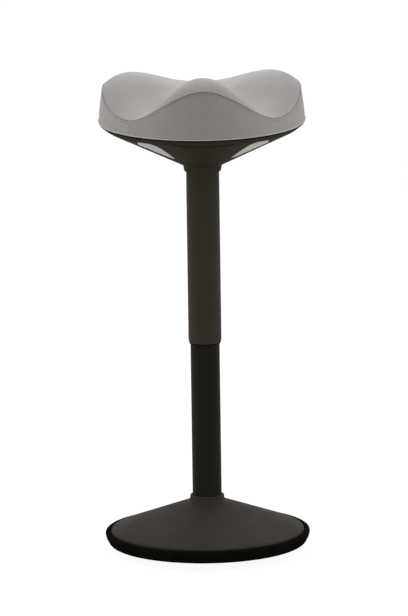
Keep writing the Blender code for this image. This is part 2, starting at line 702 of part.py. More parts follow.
def pan_post(angle):
    """Screw post inside the pan; its foot ends inside the sloping wall."""
    centre = polar(angle, PAN_SCREW_RADIUS, 0.0)
    low = []
    high = []
    for side in range(ROUND_SIDES):
        spot = centre + polar(360.0 * side / ROUND_SIDES, POST_RADIUS, 0.0)
        low.append(Vector((spot.x, spot.y, cone_outside(spot.length) + 0.5 * PAN_THICKNESS)))
        high.append(Vector((spot.x, spot.y, BOARD_BOTTOM - FIT)))
    faces = [list(range(ROUND_SIDES, 2 * ROUND_SIDES))]
    middle = Vector((centre.x, centre.y, cone_outside(centre.length) + 0.5 * PAN_THICKNESS))
    for side in range(ROUND_SIDES):
        after = (side + 1) % ROUND_SIDES
        faces.append([side, after, ROUND_SIDES + after, ROUND_SIDES + side])
        faces.append([after, side, 2 * ROUND_SIDES])
    return make_object("post", low + high + [middle], faces, None)


def build_pan(mats):
    bore = SLEEVE_RADIUS + FIT
    inside = LIP_RADIUS - PAN_LIP_STEP
    profile = [(bore, NECK_BOTTOM), (NECK_RADIUS - NECK_ROUND, NECK_BOTTOM),
               (NECK_RADIUS - 0.4 * NECK_ROUND, NECK_BOTTOM + NECK_ROUND), (NECK_RADIUS, CONE_BOTTOM),
               (LIP_RADIUS, cone_outside(LIP_RADIUS)), (PAN_RADIUS, PAN_TOP - PAN_LIP_CHAMFER),
               (PAN_RADIUS - PAN_LIP_BREAK, PAN_TOP), (PAN_RADIUS - PAN_LIP_WALL, PAN_TOP),
               (inside, cone_inside(inside)), (bore, cone_inside(bore))]
    pan = lathe("seat_pan", profile, PAN_SIDES, mats["pan"])
    combine(pan, [pan_post(angle) for angle in PAN_SCREW_ANGLES], "UNION")
    cutters = []
    for side in (-1.0, 1.0):
        cutters.append(prism("window", paddle_outline(side, WINDOW_GAP), NECK_BOTTOM, BOARD_BOTTOM, None))
    cutters.append(front_recess())
    for angle in PAN_SCREW_ANGLES:
        spot = polar(angle, PAN_SCREW_RADIUS, CONE_BOTTOM)
        cutters.append(drill(spot, PAN_SCREW_SHANK + FIT, BOARD_TOP - CONE_BOTTOM))
        cutters.append(drill(spot, PAN_SCREW_HEAD[0] + FIT, pan_screw_seat() - CONE_BOTTOM))
    return combine(pan, cutters, "DIFFERENCE")


def front_recess():
    """Shallow band pressed into the front of the pan, drawn to a point at both ends."""
    middle = PAN_RADIUS - 0.5 * (RECESS_INNER + RECESS_OUTER)
    steps = 8
    vertices = []
    faces = []
    for step in range(steps + 1):
        share = 2.0 * step / steps - 1.0
        half = 0.5 * (RECESS_INNER - RECESS_OUTER) * (1.0 - 0.9 * share ** 4)
        for radius, shift in ((middle - half, -CUT_OVERRUN), (middle + half, -CUT_OVERRUN),
                              (middle + half, RECESS_DEPTH), (middle - half, RECESS_DEPTH)):
            vertices.append(polar(RECESS_ANGLE * share, radius, cone_outside(radius) + shift))
    for step in range(steps):
        for corner in range(4):
            after = (corner + 1) % 4
            faces.append([4 * step + corner, 4 * step + after, 4 * step + 4 + after, 4 * step + 4 + corner])
    faces.append([0, 1, 2, 3])
    faces.append([4 * steps, 4 * steps + 1, 4 * steps + 2, 4 * steps + 3])
    return make_object("recess", vertices, faces, None)


def build_pan_screws(mats):
    seat = pan_screw_seat() - FIT
    length = BOARD_TOP - BLIND_SKIN - TIP_GAP - seat
    screws = []
    for index, angle in enumerate(PAN_SCREW_ANGLES):
        spot = polar(angle, PAN_SCREW_RADIUS, seat)
        screws.append(screw(f"pan_screw_{index + 1}", spot, True, PAN_SCREW_HEAD,
                            (PAN_SCREW_SHANK, length), mats["steel"]))
    return screws


def build_board(mats):
    profile = [(0.0, BOARD_BOTTOM), (BOARD_RADIUS - BOARD_CHAMFER, BOARD_BOTTOM),
               (BOARD_RADIUS, BOARD_BOTTOM + BOARD_CHAMFER), (BOARD_RADIUS, BOARD_TOP), (0.0, BOARD_TOP)]
    board = lathe("seat_board", profile, SEAT_SIDES, mats["board"])
    foot = BOARD_BOTTOM - CUT_OVERRUN
    depth = BOARD_TOP - BLIND_SKIN - foot
    cutters = []
    for x, y in BRACKET_SCREWS:
        cutters.append(drill((x, y, foot), BRACKET_SCREW_SHANK + FIT, depth))
    for angle in PAN_SCREW_ANGLES:
        cutters.append(drill(polar(angle, PAN_SCREW_RADIUS, foot), PAN_SCREW_SHANK + FIT, depth))
    return combine(board, cutters, "DIFFERENCE")


def cone_slab(name, outline, edge, low, high, material):
    """Piece of a cone plate between two heights above the pan's outside, cut to a plan outline."""
    under = [(radius, cone_outside(radius) + low) for radius in (NECK_RADIUS, edge)]
    over = [(radius, cone_outside(radius) + high) for radius in (edge, NECK_RADIUS)]
    slab = lathe(name, under + over, PAN_SIDES, material)
    combine(slab, [prism("outline", outline, NECK_BOTTOM, BOARD_TOP, None)], "INTERSECT")
    set_origin(slab, -slab.location)
    slab.location = (0.0, 0.0, 0.0)
    return slab


def build_paddle(name, side, mats):
    """Crescent that fills its window flush with the pan, with a wider rim inside and a stud for the yoke."""
    rim = PAN_THICKNESS + PADDLE_GAP
    paddle = cone_slab(name, paddle_outline(side, PADDLE_MARGIN), PADDLE_RADIUS, rim, rim + PADDLE_THICKNESS,
                       mats["paddle"])
    plug = cone_slab("plug", paddle_outline(side, 0.0), PADDLE_RADIUS - PADDLE_EDGE_GAP, 0.0,
                     rim + 0.5 * PADDLE_THICKNESS, None)
    combine(paddle, [plug], "UNION")
    x, y = STUD
    foot = STUD_FOOT + 0.5 * PADDLE_THICKNESS
    rest = LEVER_BOTTOM - FIT
    head = rest + LEVER_PLATE + STUD_HEAD
    profile = [(0.0, foot), (2.0 * STUD_RADIUS, foot), (2.0 * STUD_RADIUS, rest), (STUD_RADIUS, rest),
               (STUD_RADIUS, head), (0.0, head)]
    stud = lathe("stud", profile, ROUND_SIDES, None)
    set_origin(stud, (-side * x, -y, -stud.location.z))
    stud.location = (0.0, 0.0, 0.0)
    combine(paddle, [stud], "UNION")
    return set_origin(paddle, PIVOT)


def build_yoke(mats):
    """Bent plate with a barrel on the pivot, a tongue over the valve and an ear for each paddle's stud."""
    x, y = STUD
    knuckle = WALL_X - PLATE_THICKNESS - YOKE_GAP
    shoulder = knuckle - YOKE_GAP
    bar = BARREL_RADIUS - LEVER_ARM
    front = WALL_FRONT - YOKE_FRONT_GAP
    half = [(0.5 * TONGUE_WIDTH, TONGUE_TAIL), (0.5 * TONGUE_WIDTH, bar), (shoulder, bar), (shoulder, front),
            (x + YOKE_EAR, y + YOKE_EAR_REAR), (x + YOKE_EAR_TIP, y - YOKE_EAR),
            (0.5 * knuckle, front - YOKE_WEB)]
    outline = half + [(-across, along) for across, along in reversed(half)]
    yoke = prism("release_yoke", outline, LEVER_BOTTOM, LEVER_BOTTOM + LEVER_PLATE, mats["steel"])
    barrel = cross_bar("barrel", knuckle, BARREL_RADIUS, ROUND_SIDES)
    low = VALVE_TOP + FIT
    root = LEVER_BOTTOM + 0.3 * LEVER_PLATE
    profile = [(0.0, low), (NOSE_RADIUS - NOSE_ROUND, low), (NOSE_RADIUS, low + NOSE_ROUND),
               (NOSE_RADIUS, root), (0.0, root)]
    combine(yoke, [barrel, lathe("nose", profile, ROUND_SIDES, None)], "UNION")
    cutters = [pivot_hole()]
    for side in (-1.0, 1.0):
        spot = (side * x, y, LEVER_BOTTOM - CUT_OVERRUN)
        cutters.append(round_bar("hole", spot, (0, 0, 1), STUD_RADIUS + FIT, LEVER_PLATE + 2.0 * CUT_OVERRUN,
                                 ROUND_SIDES))
    combine(yoke, cutters, "DIFFERENCE")
    return set_origin(yoke, PIVOT)


def ease(share):
    return share * share * (3.0 - 2.0 * share)


def around(angle, pommel, valley, wing, rear, broad=1.0):
    """Height that swings smoothly from the pommel through valley and wing to the rear."""
    angle = abs((angle + 180.0) % 360.0 - 180.0)
    stops = ((0.0, pommel), (VALLEY_ANGLE, valley), (WING_ANGLE, wing), (180.0, rear))
    for start, end in zip(stops[:-1], stops[1:]):
        if angle <= end[0]:
            share = (angle - start[0]) / (end[0] - start[0])
            if start[0] == 0.0:
                share = share ** broad
            return start[1] + (end[1] - start[1]) * ease(share)
    return rear


def seat_section(angle):
    """Outside of the seat in one upright plane: points of the top panel, then of the side band."""
    ridge = around(angle, POMMEL_TOP, VALLEY_TOP, WING_TOP, REAR_TOP, POMMEL_BREADTH)
    seam = around(angle, POMMEL_SEAM, VALLEY_SEAM, WING_SEAM, REAR_SEAM)
    top = []
    for share in (0.0, 0.16, 0.30, 0.43, 0.56, 0.68, 0.78, 0.86, 0.93, 0.97, 1.0):
        swell = min(1.0, share / CREST_SHARE)
        swell = swell ** 3 * (10.0 - 15.0 * swell + 6.0 * swell ** 2)
        fall = (max(0.0, share - FALL_SHARE) / (1.0 - FALL_SHARE)) ** FALL_POWER
        height = SEAT_CENTRE + (ridge - SEAT_CENTRE) * swell - (ridge - seam) * fall
        top.append((share * SEAM_RADIUS, SEAT_EDGE + height))
    side = []
    for share in (0.0, 0.15, 0.4, 0.7, 1.0):
        radius = SEAM_RADIUS + FIT + (SEAT_RADIUS - SEAM_RADIUS) * (1.0 - (1.0 - share) ** SIDE_POWER)
        side.append((radius, SEAT_EDGE + (seam - SEAM_GAP) * (1.0 - share)))
    return top, side


def inset(points, depth, seam):
    """Move a section inwards by a depth, square to its own run; both edges of the seam move alike."""
    moved = []
    for index, (radius, z) in enumerate(points):
        before = points[max(0, index - (2 if index == seam else 1))]
        after = points[min(len(points) - 1, index + (2 if index == seam - 1 else 1))]
        run = Vector((after[0] - before[0], after[1] - before[1])).normalized()
        if index == 0:
            run = Vector((1.0, 0.0))
        moved.append((radius + run.y * depth, z - run.x * depth))
    return moved


def sweep(name, section_at, closed, material):
    """Join one section for each angle round the seat into a body."""
    rows = [section_at(360.0 * side / SEAT_SIDES) for side in range(SEAT_SIDES)]
    count = len(rows[0])
    vertices = []
    index_of = []
    poles = {}
    for side, row in enumerate(rows):
        line = []
        for spot, (radius, z) in enumerate(row):
            if radius < 1e-6:
                if spot not in poles:
                    poles[spot] = len(vertices)
                    vertices.append(Vector((0.0, 0.0, z)))
                line.append(poles[spot])
                continue
            line.append(len(vertices))
            vertices.append(polar(360.0 * side / SEAT_SIDES, radius, z))
        index_of.append(line)
    faces = []
    last = count if closed else count - 1
    for side in range(SEAT_SIDES):
        here = index_of[side]
        there = index_of[(side + 1) % SEAT_SIDES]
        for spot in range(last):
            near, far = sorted((spot, (spot + 1) % count), key=lambda place: rows[0][place][0])
            for corners in ((here[near], there[near], there[far]), (here[near], there[far], here[far])):
                corners = list(dict.fromkeys(corners))
                if len(corners) == 3:
                    faces.append(corners)
    obj = make_object(name, vertices, faces, material, 40.0)
    return set_origin(obj, (0.0, 0.0, SEAT_EDGE))


def whole_section(angle, depth):
    top, side = seat_section(angle)
    moved = inset(top + side, depth, len(top))
    return moved[:len(top)], moved[len(top):]


def build_top_cover(mats):
    def section(angle):
        outer, side = whole_section(angle, 0.0)
        inner, side = whole_section(angle, CLOTH)
        return outer + inner[::-1]
    return sweep("seat_cover_top", section, False, mats["cloth"])


def build_side_cover(mats):
    def section(angle):
        top, outer = whole_section(angle, 0.0)
        top, inner = whole_section(angle, CLOTH)
        turn = SEAT_RADIUS - TURN_IN
        fold = [(turn, SEAT_EDGE), (turn, SEAT_EDGE + CLOTH), (SEAT_RADIUS - CLOTH, SEAT_EDGE + CLOTH)]
        return outer + fold + inner[:-1][::-1]
    return sweep("seat_cover_side", section, True, mats["cloth"])


def build_foam(mats):
    def section(angle):
        top, side = whole_section(angle, CLOTH + FIT)
        low = SEAT_EDGE + CLOTH + FIT
        rest = BOARD_TOP + FIT
        edge = BOARD_RADIUS + FIT
        foot = [(SEAT_RADIUS - CLOTH - FIT, low), (edge, low), (edge, rest), (0.0, rest)]
        return top + side[:-1] + foot
    return sweep("seat_foam", section, False, mats["foam"])


def build_hem(mats):
    centre = SEAT_RADIUS - HEM_RADIUS
    level = SEAT_EDGE - FIT - HEM_RADIUS
    profile = []
    for step in range(6):
        turn = math.radians(60.0 * step + 30.0)
        profile.append((centre + HEM_RADIUS * math.cos(turn), level + HEM_RADIUS * math.sin(turn)))
    return lathe("seat_hem", profile, SEAT_SIDES, mats["hem"], 80.0)


def make_body(name, point, parent, pieces):
    empty = bpy.data.objects.new(name, None)
    bpy.context.collection.objects.link(empty)
    empty.empty_display_size = 0.05
    empty.location = point
    bpy.context.view_layer.update()
    if parent is not None:
        empty.parent = parent
        empty.matrix_parent_inverse = parent.matrix_world.inverted()
    bpy.context.view_layer.update()
    for piece in pieces:
        piece.parent = empty
        piece.matrix_parent_inverse = empty.matrix_world.inverted()
    return empty


def build_chair():
    clear_scene()
    mats = make_materials()
    lower, cage, upper, buffer, clip = build_thrust_stack(mats)
    base = [build_sole(mats), *build_sole_screws(mats), build_weight(mats), build_hub(mats),
            *build_hub_screws(mats), build_cover(mats), build_collar(mats), build_standpipe(mats),
            build_guide_bush(mats), lower, cage]
    rod = [build_rod(mats), build_piston(mats), upper, buffer, clip]
    seat = [build_cylinder(mats), build_gland(mats), build_sleeve(mats), build_bracket(mats),
            *build_bracket_screws(mats), build_pivot_pin(mats), build_pan(mats), *build_pan_screws(mats),
            build_board(mats), build_foam(mats), build_top_cover(mats), build_side_cover(mats),
            build_hem(mats)]
    lever = [build_yoke(mats), build_paddle("paddle_left", -1.0, mats),
             build_paddle("paddle_right", 1.0, mats)]
    valve = [build_valve(mats)]
    base_body = make_body("base_body", (0.0, 0.0, 0.0), None, base)
    rod_body = make_body("rod_body", (0.0, 0.0, STANDPIPE_BOTTOM), base_body, rod)
    seat_body = make_body("seat_body", (0.0, 0.0, SLEEVE_BOTTOM), rod_body, seat)
    make_body("lever_body", PIVOT, seat_body, lever)
    make_body("valve_body", (0.0, 0.0, PLATE_TOP), seat_body, valve)


build_chair()
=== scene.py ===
# %% [markdown]
# # A balance chair, dressed piece by piece
# The chair is a saddle seat on a gas-lift column, and it rocks on a domed, weighted foot.
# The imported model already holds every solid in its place, in metres, with the joints that move it.
# This lesson loads that frame, keeps the hidden hardware and gives it finishes, and makes finer pieces
# for what shows: cloth, stitches, moulded plastic, painted tube and rubber.

# %% Load the frame
import math

import bmesh
import bpy
import numpy as np
from mathutils import Matrix, Vector


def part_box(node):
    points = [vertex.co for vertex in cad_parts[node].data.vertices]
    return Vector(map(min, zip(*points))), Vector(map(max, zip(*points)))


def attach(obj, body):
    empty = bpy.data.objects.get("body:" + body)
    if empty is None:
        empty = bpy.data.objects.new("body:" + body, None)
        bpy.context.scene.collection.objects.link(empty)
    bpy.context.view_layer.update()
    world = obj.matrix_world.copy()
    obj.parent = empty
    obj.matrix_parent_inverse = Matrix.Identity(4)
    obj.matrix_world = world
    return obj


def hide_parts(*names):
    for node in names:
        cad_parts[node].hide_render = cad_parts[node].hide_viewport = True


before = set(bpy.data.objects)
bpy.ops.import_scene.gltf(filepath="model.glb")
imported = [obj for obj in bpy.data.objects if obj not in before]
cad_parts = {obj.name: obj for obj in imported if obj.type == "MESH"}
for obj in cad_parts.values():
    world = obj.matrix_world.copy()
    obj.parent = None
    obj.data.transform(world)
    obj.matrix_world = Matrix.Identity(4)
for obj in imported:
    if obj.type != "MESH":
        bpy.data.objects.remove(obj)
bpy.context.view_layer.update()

# %% [markdown]
# ## The camera
# The picture was taken from far away with a long lens, a little above the seat, so the column stays
# nearly parallel and the ellipse of the foot is shallow. It also looks a touch from the left, and the
# picture leans by less than a degree. A camera could be framed by eye, but the scale is known from the
# width of the seat, so the lens follows from the distance and the size of one pixel.

# %% Camera
IMAGE_HEIGHT = 616
METRES_PER_PIXEL = 0.001812
SENSOR = 36.0
DISTANCE = 24.0
FAR_CLIP = 300.0
PITCH = math.radians(12.1)
TURN = math.radians(0.9)
ROLL = math.radians(-0.82)
AIM = Vector((-0.0010, 0.0, 0.4483))


def place_new(name, data):
    """New object for a mesh, a curve, a lamp or a camera, put into the scene."""
    obj = bpy.data.objects.new(name, data)
    bpy.context.scene.collection.objects.link(obj)
    return obj


def look_along(way):
    """Turn that points a camera or a lamp along a direction."""
    return way.to_track_quat("-Z", "Y").to_matrix().to_4x4()


camera_data = bpy.data.cameras.new("photo_camera")
camera_data.sensor_width = SENSOR
camera_data.lens = DISTANCE * SENSOR / (IMAGE_HEIGHT * METRES_PER_PIXEL)
camera_data.clip_end = FAR_CLIP
camera = place_new("photo_camera", camera_data)
bpy.context.scene.camera = camera
away = Vector((-math.sin(TURN) * math.cos(PITCH), -math.cos(TURN) * math.cos(PITCH), math.sin(PITCH)))
lean = Matrix.Rotation(ROLL, 4, "Z")
camera.matrix_world = Matrix.Translation(AIM + away * DISTANCE) @ look_along(-away) @ lean
print("lens in mm:", round(camera_data.lens, 1))

# %% [markdown]
# ## Stage and light
# The chair stands on a white sweep with almost no shadow. Turning the lamps up until the floor burns out
# would bleach the cloth too, so the floor and the world glow white only for rays that come straight
# from the camera or off a shiny surface, and the lamps stay at a plain level. Two tall soft boxes stand
# at the sides and one hangs above and behind, which leaves the front of the pommel in soft shade. Shader
# trees are built from a few small helpers, which the finishes use again later.

# %% Node helpers
def add_node(tree, kind, inputs):
    """New node with some of its inputs set."""
    node = tree.nodes.new(kind)
    for name, value in inputs.items():
        node.inputs[name].default_value = value
    return node


def sums(tree, operation, first, second):
    """One math node; each side is a number or another node's output."""
    node = tree.nodes.new("ShaderNodeMath")
    node.operation = operation
    for socket, value in zip(node.inputs, (first, second)):
        if isinstance(value, (int, float)):
            socket.default_value = value
        else:
            tree.links.new(value, socket)
    return node.outputs[0]


def grey(level):
    """Opaque grey."""
    return (level, level, level, 1.0)


def two_ways(tree, falling, seen, output):
    """One shader for light that falls on things, another for rays that see the surface."""
    path = tree.nodes.new("ShaderNodeLightPath")
    direct = path.outputs["Is Camera Ray"]
    for name in ("Is Glossy Ray", "Is Transmission Ray"):
        direct = sums(tree, "MAXIMUM", direct, path.outputs[name])
    mix = tree.nodes.new("ShaderNodeMixShader")
    tree.links.new(direct, mix.inputs["Fac"])
    tree.links.new(falling.outputs[0], mix.inputs[1])
    tree.links.new(seen.outputs[0], mix.inputs[2])
    tree.links.new(mix.outputs[0], tree.nodes[output].inputs["Surface"])


# %% Floor and world
FLOOR_REACH = 60.0
FLOOR_DROP = 0.0004
FLOOR_GLOW = 0.94
ROOM_LIGHT = 0.56


def make_floor_paper():
    """White paper that still takes a faint shadow."""
    material = bpy.data.materials.new("white_paper")
    material.use_nodes = True
    tree = material.node_tree
    tree.nodes.remove(tree.nodes["Principled BSDF"])
    lit = add_node(tree, "ShaderNodeBsdfDiffuse", {"Color": grey(0.70)})
    shade = add_node(tree, "ShaderNodeBsdfDiffuse", {"Color": grey(0.14)})
    glow = add_node(tree, "ShaderNodeEmission", {"Strength": FLOOR_GLOW})
    both = tree.nodes.new("ShaderNodeAddShader")
    tree.links.new(shade.outputs[0], both.inputs[0])
    tree.links.new(glow.outputs[0], both.inputs[1])
    two_ways(tree, lit, both, "Material Output")
    return material


floor_mesh = bpy.data.meshes.new("floor")
corners = [(x * FLOOR_REACH, y * FLOOR_REACH, 0.0) for x, y in ((-1, -1), (1, -1), (1, 1), (-1, 1))]
floor_mesh.from_pydata(corners, [], [(0, 1, 2, 3)])
floor_mesh.materials.append(make_floor_paper())
floor = place_new("floor", floor_mesh)
floor.location.z = -FLOOR_DROP

world = bpy.data.worlds.new("studio")
world.use_nodes = True
bpy.context.scene.world = world
room = world.node_tree
room_light = room.nodes["Background"]
room_light.inputs["Color"].default_value = grey(1.0)
room_light.inputs["Strength"].default_value = ROOM_LIGHT
backdrop = add_node(room, "ShaderNodeBackground", {"Color": grey(1.0), "Strength": 1.0})
two_ways(room, room_light, backdrop, "World Output")
bpy.context.scene.view_settings.view_transform = "Standard"
print("floor and world ready")


# %% Lamps
def soft_box(name, place, target, width, height, watts):
    """Flat lamp of a size in metres, turned towards a point."""
    data = bpy.data.lights.new(name, "AREA")
    data.shape = "RECTANGLE"
    data.size = width
    data.size_y = height
    data.energy = watts
    lamp = place_new(name, data)
    lamp.matrix_world = Matrix.Translation(place) @ look_along(Vector(target) - Vector(place))


for name, x in (("left_box", -1.7), ("right_box", 1.7)):
    soft_box(name, (x, 0.10, 1.9), (0.0, 0.0, 0.60), width=1.2, height=1.6, watts=15.0)
soft_box("top_box", (0.0, 1.35, 2.45), (0.0, 0.0, 0.80), width=1.6, height=1.2, watts=27.0)
print("lamps:", [item.name for item in bpy.data.lights])

# %% [markdown]
# ## Building blocks for finishes
# Every finish here is a small shader tree that reads the piece's own place in metres, so a grain of one
# millimetre is one millimetre on any piece. A few helpers are enough: a noise, two that let a value set
# the colour or the roughness, a bump, and one that tones a colour which is already there.

# %% Finish helpers
def start_finish(name, roughness, metallic=0.0, gloss=0.5):
    """New finish with its tree, its shader and the piece's own place."""
    material = bpy.data.materials.new(name)
    material.use_nodes = True
    tree = material.node_tree
    shader = tree.nodes["Principled BSDF"]
    shader.inputs["Roughness"].default_value = roughness
    shader.inputs["Metallic"].default_value = metallic
    shader.inputs["Specular IOR Level"].default_value = gloss
    place = tree.nodes.new("ShaderNodeTexCoord").outputs["Object"]
    return material, tree, shader, place


def cloud(tree, place, scale, detail, stretch=None):
    """Noise at so many features per metre, drawn out along an axis if asked."""
    if stretch is not None:
        mapping = add_node(tree, "ShaderNodeMapping", {"Scale": stretch})
        tree.links.new(place, mapping.inputs["Vector"])
        place = mapping.outputs["Vector"]
    noise = add_node(tree, "ShaderNodeTexNoise", {"Scale": scale, "Detail": detail})
    tree.links.new(place, noise.inputs["Vector"])
    return noise.outputs["Fac"]


def tint(colour, factor):
    """The same colour, lighter or darker."""
    return [part * factor for part in colour]


# %% Values that drive a finish
NOISE_LOW = 0.3
NOISE_HIGH = 0.7


def colour_by(tree, shader, value, low, high, start=NOISE_LOW, end=NOISE_HIGH):
    """Let the colour run from low to high as a value goes from start to end."""
    ramp = tree.nodes.new("ShaderNodeValToRGB")
    for element, position, colour in zip(ramp.color_ramp.elements, (start, end), (low, high)):
        element.position = position
        element.color = (*colour, 1.0)
    tree.links.new(value, ramp.inputs["Fac"])
    tree.links.new(ramp.outputs["Color"], shader.inputs["Base Color"])


def roughness_by(tree, shader, value, low, high):
    """Let the roughness run from low to high over most of a noise."""
    span = {"From Min": NOISE_LOW, "From Max": NOISE_HIGH, "To Min": low, "To Max": high}
    node = add_node(tree, "ShaderNodeMapRange", span)
    tree.links.new(value, node.inputs["Value"])
    tree.links.new(node.outputs["Result"], shader.inputs["Roughness"])


def relief(tree, shader, height, depth, strength=1.0):
    """Bump of a depth in metres."""
    bump = add_node(tree, "ShaderNodeBump", {"Distance": depth, "Strength": strength})
    tree.links.new(height, bump.inputs["Height"])
    tree.links.new(bump.outputs["Normal"], shader.inputs["Normal"])


def scale_colour(tree, shader, factor):
    """Multiply the colour that a finish already has by another node's output."""
    plain = shader.inputs["Base Color"].links[0].from_socket
    toned = tree.nodes.new("ShaderNodeVectorMath")
    toned.operation = "SCALE"
    tree.links.new(plain, toned.inputs[0])
    tree.links.new(factor, toned.inputs["Scale"])
    tree.links.new(toned.outputs["Vector"], shader.inputs["Base Color"])


# %% [markdown]
# ## Hard finishes
# The shell of the seat, the sleeve and the cover of the foot are spark-eroded plastic: a fine matt grain
# that breaks up the highlight, with faint handling marks. The tube is powder coated, the rocker is rubber
# with a dusty bloom, and the hardware inside is zinc-plated steel, cast iron, nylon, hard chrome and ply.

# %% Plastic, paint and rubber
def moulded(name, colour, roughness, gloss, grain=1100.0, depth=0.00012, wear=0.12):
    """Matt plastic with a fine grain, soft patches and marks from handling."""
    material, tree, shader, place = start_finish(name, roughness, gloss=gloss)
    patch = cloud(tree, place, 9.0, 5.0)
    colour_by(tree, shader, patch, tint(colour, 1.0 - wear), tint(colour, 1.0 + wear))
    handled = cloud(tree, place, 42.0, 6.0, (1.0, 1.0, 0.35))
    roughness_by(tree, shader, handled, roughness - 0.05, roughness + 0.06)
    relief(tree, shader, cloud(tree, place, grain, 2.0), depth)
    return material


def powder_coat(name, colour, roughness, gloss):
    """Painted steel, rubbed along its length, with a slightly pebbled skin."""
    material, tree, shader, place = start_finish(name, roughness, gloss=gloss)
    patch = cloud(tree, place, 14.0, 4.0, (1.0, 1.0, 0.25))
    colour_by(tree, shader, patch, tint(colour, 0.85), tint(colour, 1.15))
    rub = cloud(tree, place, 70.0, 5.0, (1.0, 1.0, 0.06))
    roughness_by(tree, shader, rub, roughness - 0.07, roughness + 0.07)
    relief(tree, shader, cloud(tree, place, 420.0, 1.0), 0.00010, 0.6)
    return material


def rubber(name, colour):
    """Dull rubber with a dusty bloom."""
    material, tree, shader, place = start_finish(name, 0.80, gloss=0.0)
    bloom = cloud(tree, place, 26.0, 7.0)
    colour_by(tree, shader, bloom, colour, tint(colour, 1.5))
    roughness_by(tree, shader, bloom, 0.74, 0.86)
    relief(tree, shader, cloud(tree, place, 700.0, 3.0), 0.00015, 0.8)
    return material


pan_plastic = moulded("pan_plastic", (0.0343, 0.0293, 0.0180), 0.62, 0.01)
sleeve_plastic = moulded("sleeve_plastic", (0.0462, 0.0375, 0.0280), 0.50, 0.03)
cover_plastic = moulded("cover_plastic", (0.0398, 0.0343, 0.0299), 0.62, 0.02)
collar_plastic = moulded("collar_plastic", (0.0435, 0.0373, 0.0322), 0.55, 0.02)
paddle_plastic = moulded("paddle_plastic", (0.465, 0.447, 0.407), 0.42, 0.20, 900.0, 0.00005, 0.03)
tube_coat = powder_coat("tube_coat", (0.0172, 0.0158, 0.0102), 0.48, 0.03)
bracket_coat = powder_coat("bracket_coat", (0.0140, 0.0140, 0.0130), 0.45, 0.35)
sole_rubber = rubber("sole_rubber", (0.0055, 0.0048, 0.0032))
print("finishes for the column:", sleeve_plastic.name, collar_plastic.name, tube_coat.name)


# %% Steel, iron, nylon and ply
def plated(name, colour, roughness):
    """Plated steel with a faint spangle and marks drawn along it."""
    material, tree, shader, place = start_finish(name, roughness, 1.0)
    spangle = add_node(tree, "ShaderNodeTexVoronoi", {"Scale": 260.0})
    tree.links.new(place, spangle.inputs["Vector"])
    colour_by(tree, shader, spangle.outputs["Distance"], tint(colour, 0.86), colour, 0.1, 0.8)
    drawn = cloud(tree, place, 500.0, 3.0, (1.0, 1.0, 0.05))
    roughness_by(tree, shader, drawn, roughness - 0.08, roughness + 0.10)
    relief(tree, shader, drawn, 0.00003, 0.5)
    return material


def casting(name, colour):
    """Raw iron with the grain of the sand that it was cast in."""
    material, tree, shader, place = start_finish(name, 0.7, 0.6)
    sand = cloud(tree, place, 380.0, 6.0)
    colour_by(tree, shader, sand, tint(colour, 0.6), tint(colour, 1.3))
    relief(tree, shader, sand, 0.0005)
    return material


def nylon(name, colour):
    """Natural nylon, a little milky."""
    material, tree, shader, place = start_finish(name, 0.45)
    shader.inputs["Subsurface Weight"].default_value = 0.1
    shader.inputs["Subsurface Radius"].default_value = (0.004, 0.004, 0.003)
    flow = cloud(tree, place, 60.0, 4.0, (1.0, 1.0, 0.3))
    colour_by(tree, shader, flow, tint(colour, 0.94), colour)
    relief(tree, shader, cloud(tree, place, 900.0, 2.0), 0.00003)
    return material


def plywood(name, dark, light):
    """Ply with its grain along the board and its layers in the edge."""
    material, tree, shader, place = start_finish(name, 0.68, gloss=0.3)
    grain = cloud(tree, place, 55.0, 6.0, (1.0, 0.08, 1.0))
    colour_by(tree, shader, grain, dark, light)
    layers = cloud(tree, place, 900.0, 3.0, (0.05, 0.05, 1.0))
    relief(tree, shader, layers, 0.0002, 0.6)
    return material


zinc_steel = plated("zinc_steel", (0.62, 0.62, 0.60), 0.34)
rod_chrome = plated("rod_chrome", (0.78, 0.78, 0.79), 0.14)
weight_iron = casting("weight_iron", (0.085, 0.083, 0.080))
natural_nylon = nylon("natural_nylon", (0.74, 0.73, 0.68))
birch_ply = plywood("birch_ply", (0.50, 0.34, 0.19), (0.66, 0.48, 0.29))

hardware = {"base_weight": weight_iron, "seat_board": birch_ply, "guide_bush": natural_nylon,
            "bearing_cage": natural_nylon, "piston": natural_nylon, "rod_gland": natural_nylon,
            "piston_rod": rod_chrome, "gas_cylinder": tube_coat, "seat_bracket": bracket_coat,
            "buffer": sole_rubber}
for name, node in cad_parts.items():
    node.data.materials.clear()
    node.data.materials.append(hardware.get(name, zinc_steel))
print("hardware finishes set on", len(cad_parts), "solids")

# %% [markdown]
# ## Turned pieces
# The sole, the cover, the collar, the tube, the sleeve and the pan are all round. Each could be a Screw
# modifier on a curve, but a short function that spins a list of (radius, height) points gives clean quads,
# and a second one rounds each corner first, because no moulded or turned edge is knife sharp.

# %% Outlines and skins
TINY = 1e-7
SHARP = 35.0
ARC_SHARE = 0.45


def rounded(points, radii, steps=5):
    """Closed outline with each corner replaced by an arc of its own radius."""
    done = []
    for index, spot in enumerate(points):
        corner = Vector(spot)
        before = Vector(points[index - 1]) - corner
        after = Vector(points[(index + 1) % len(points)]) - corner
        size = min(radii[index], ARC_SHARE * before.length, ARC_SHARE * after.length)
        if size < TINY:
            done.append(tuple(corner))
            continue
        first = corner + before.normalized() * size
        last = corner + after.normalized() * size
        for step in range(steps + 1):
            share = step / steps
            done.append(tuple(first.lerp(corner, share).lerp(corner.lerp(last, share), share)))
    return done


def polar(angle, radius, z):
    """Point at an angle in degrees from the front of the chair, turning towards +X."""
    turn = math.radians(angle)
    return Vector((radius * math.sin(turn), -radius * math.cos(turn), z))


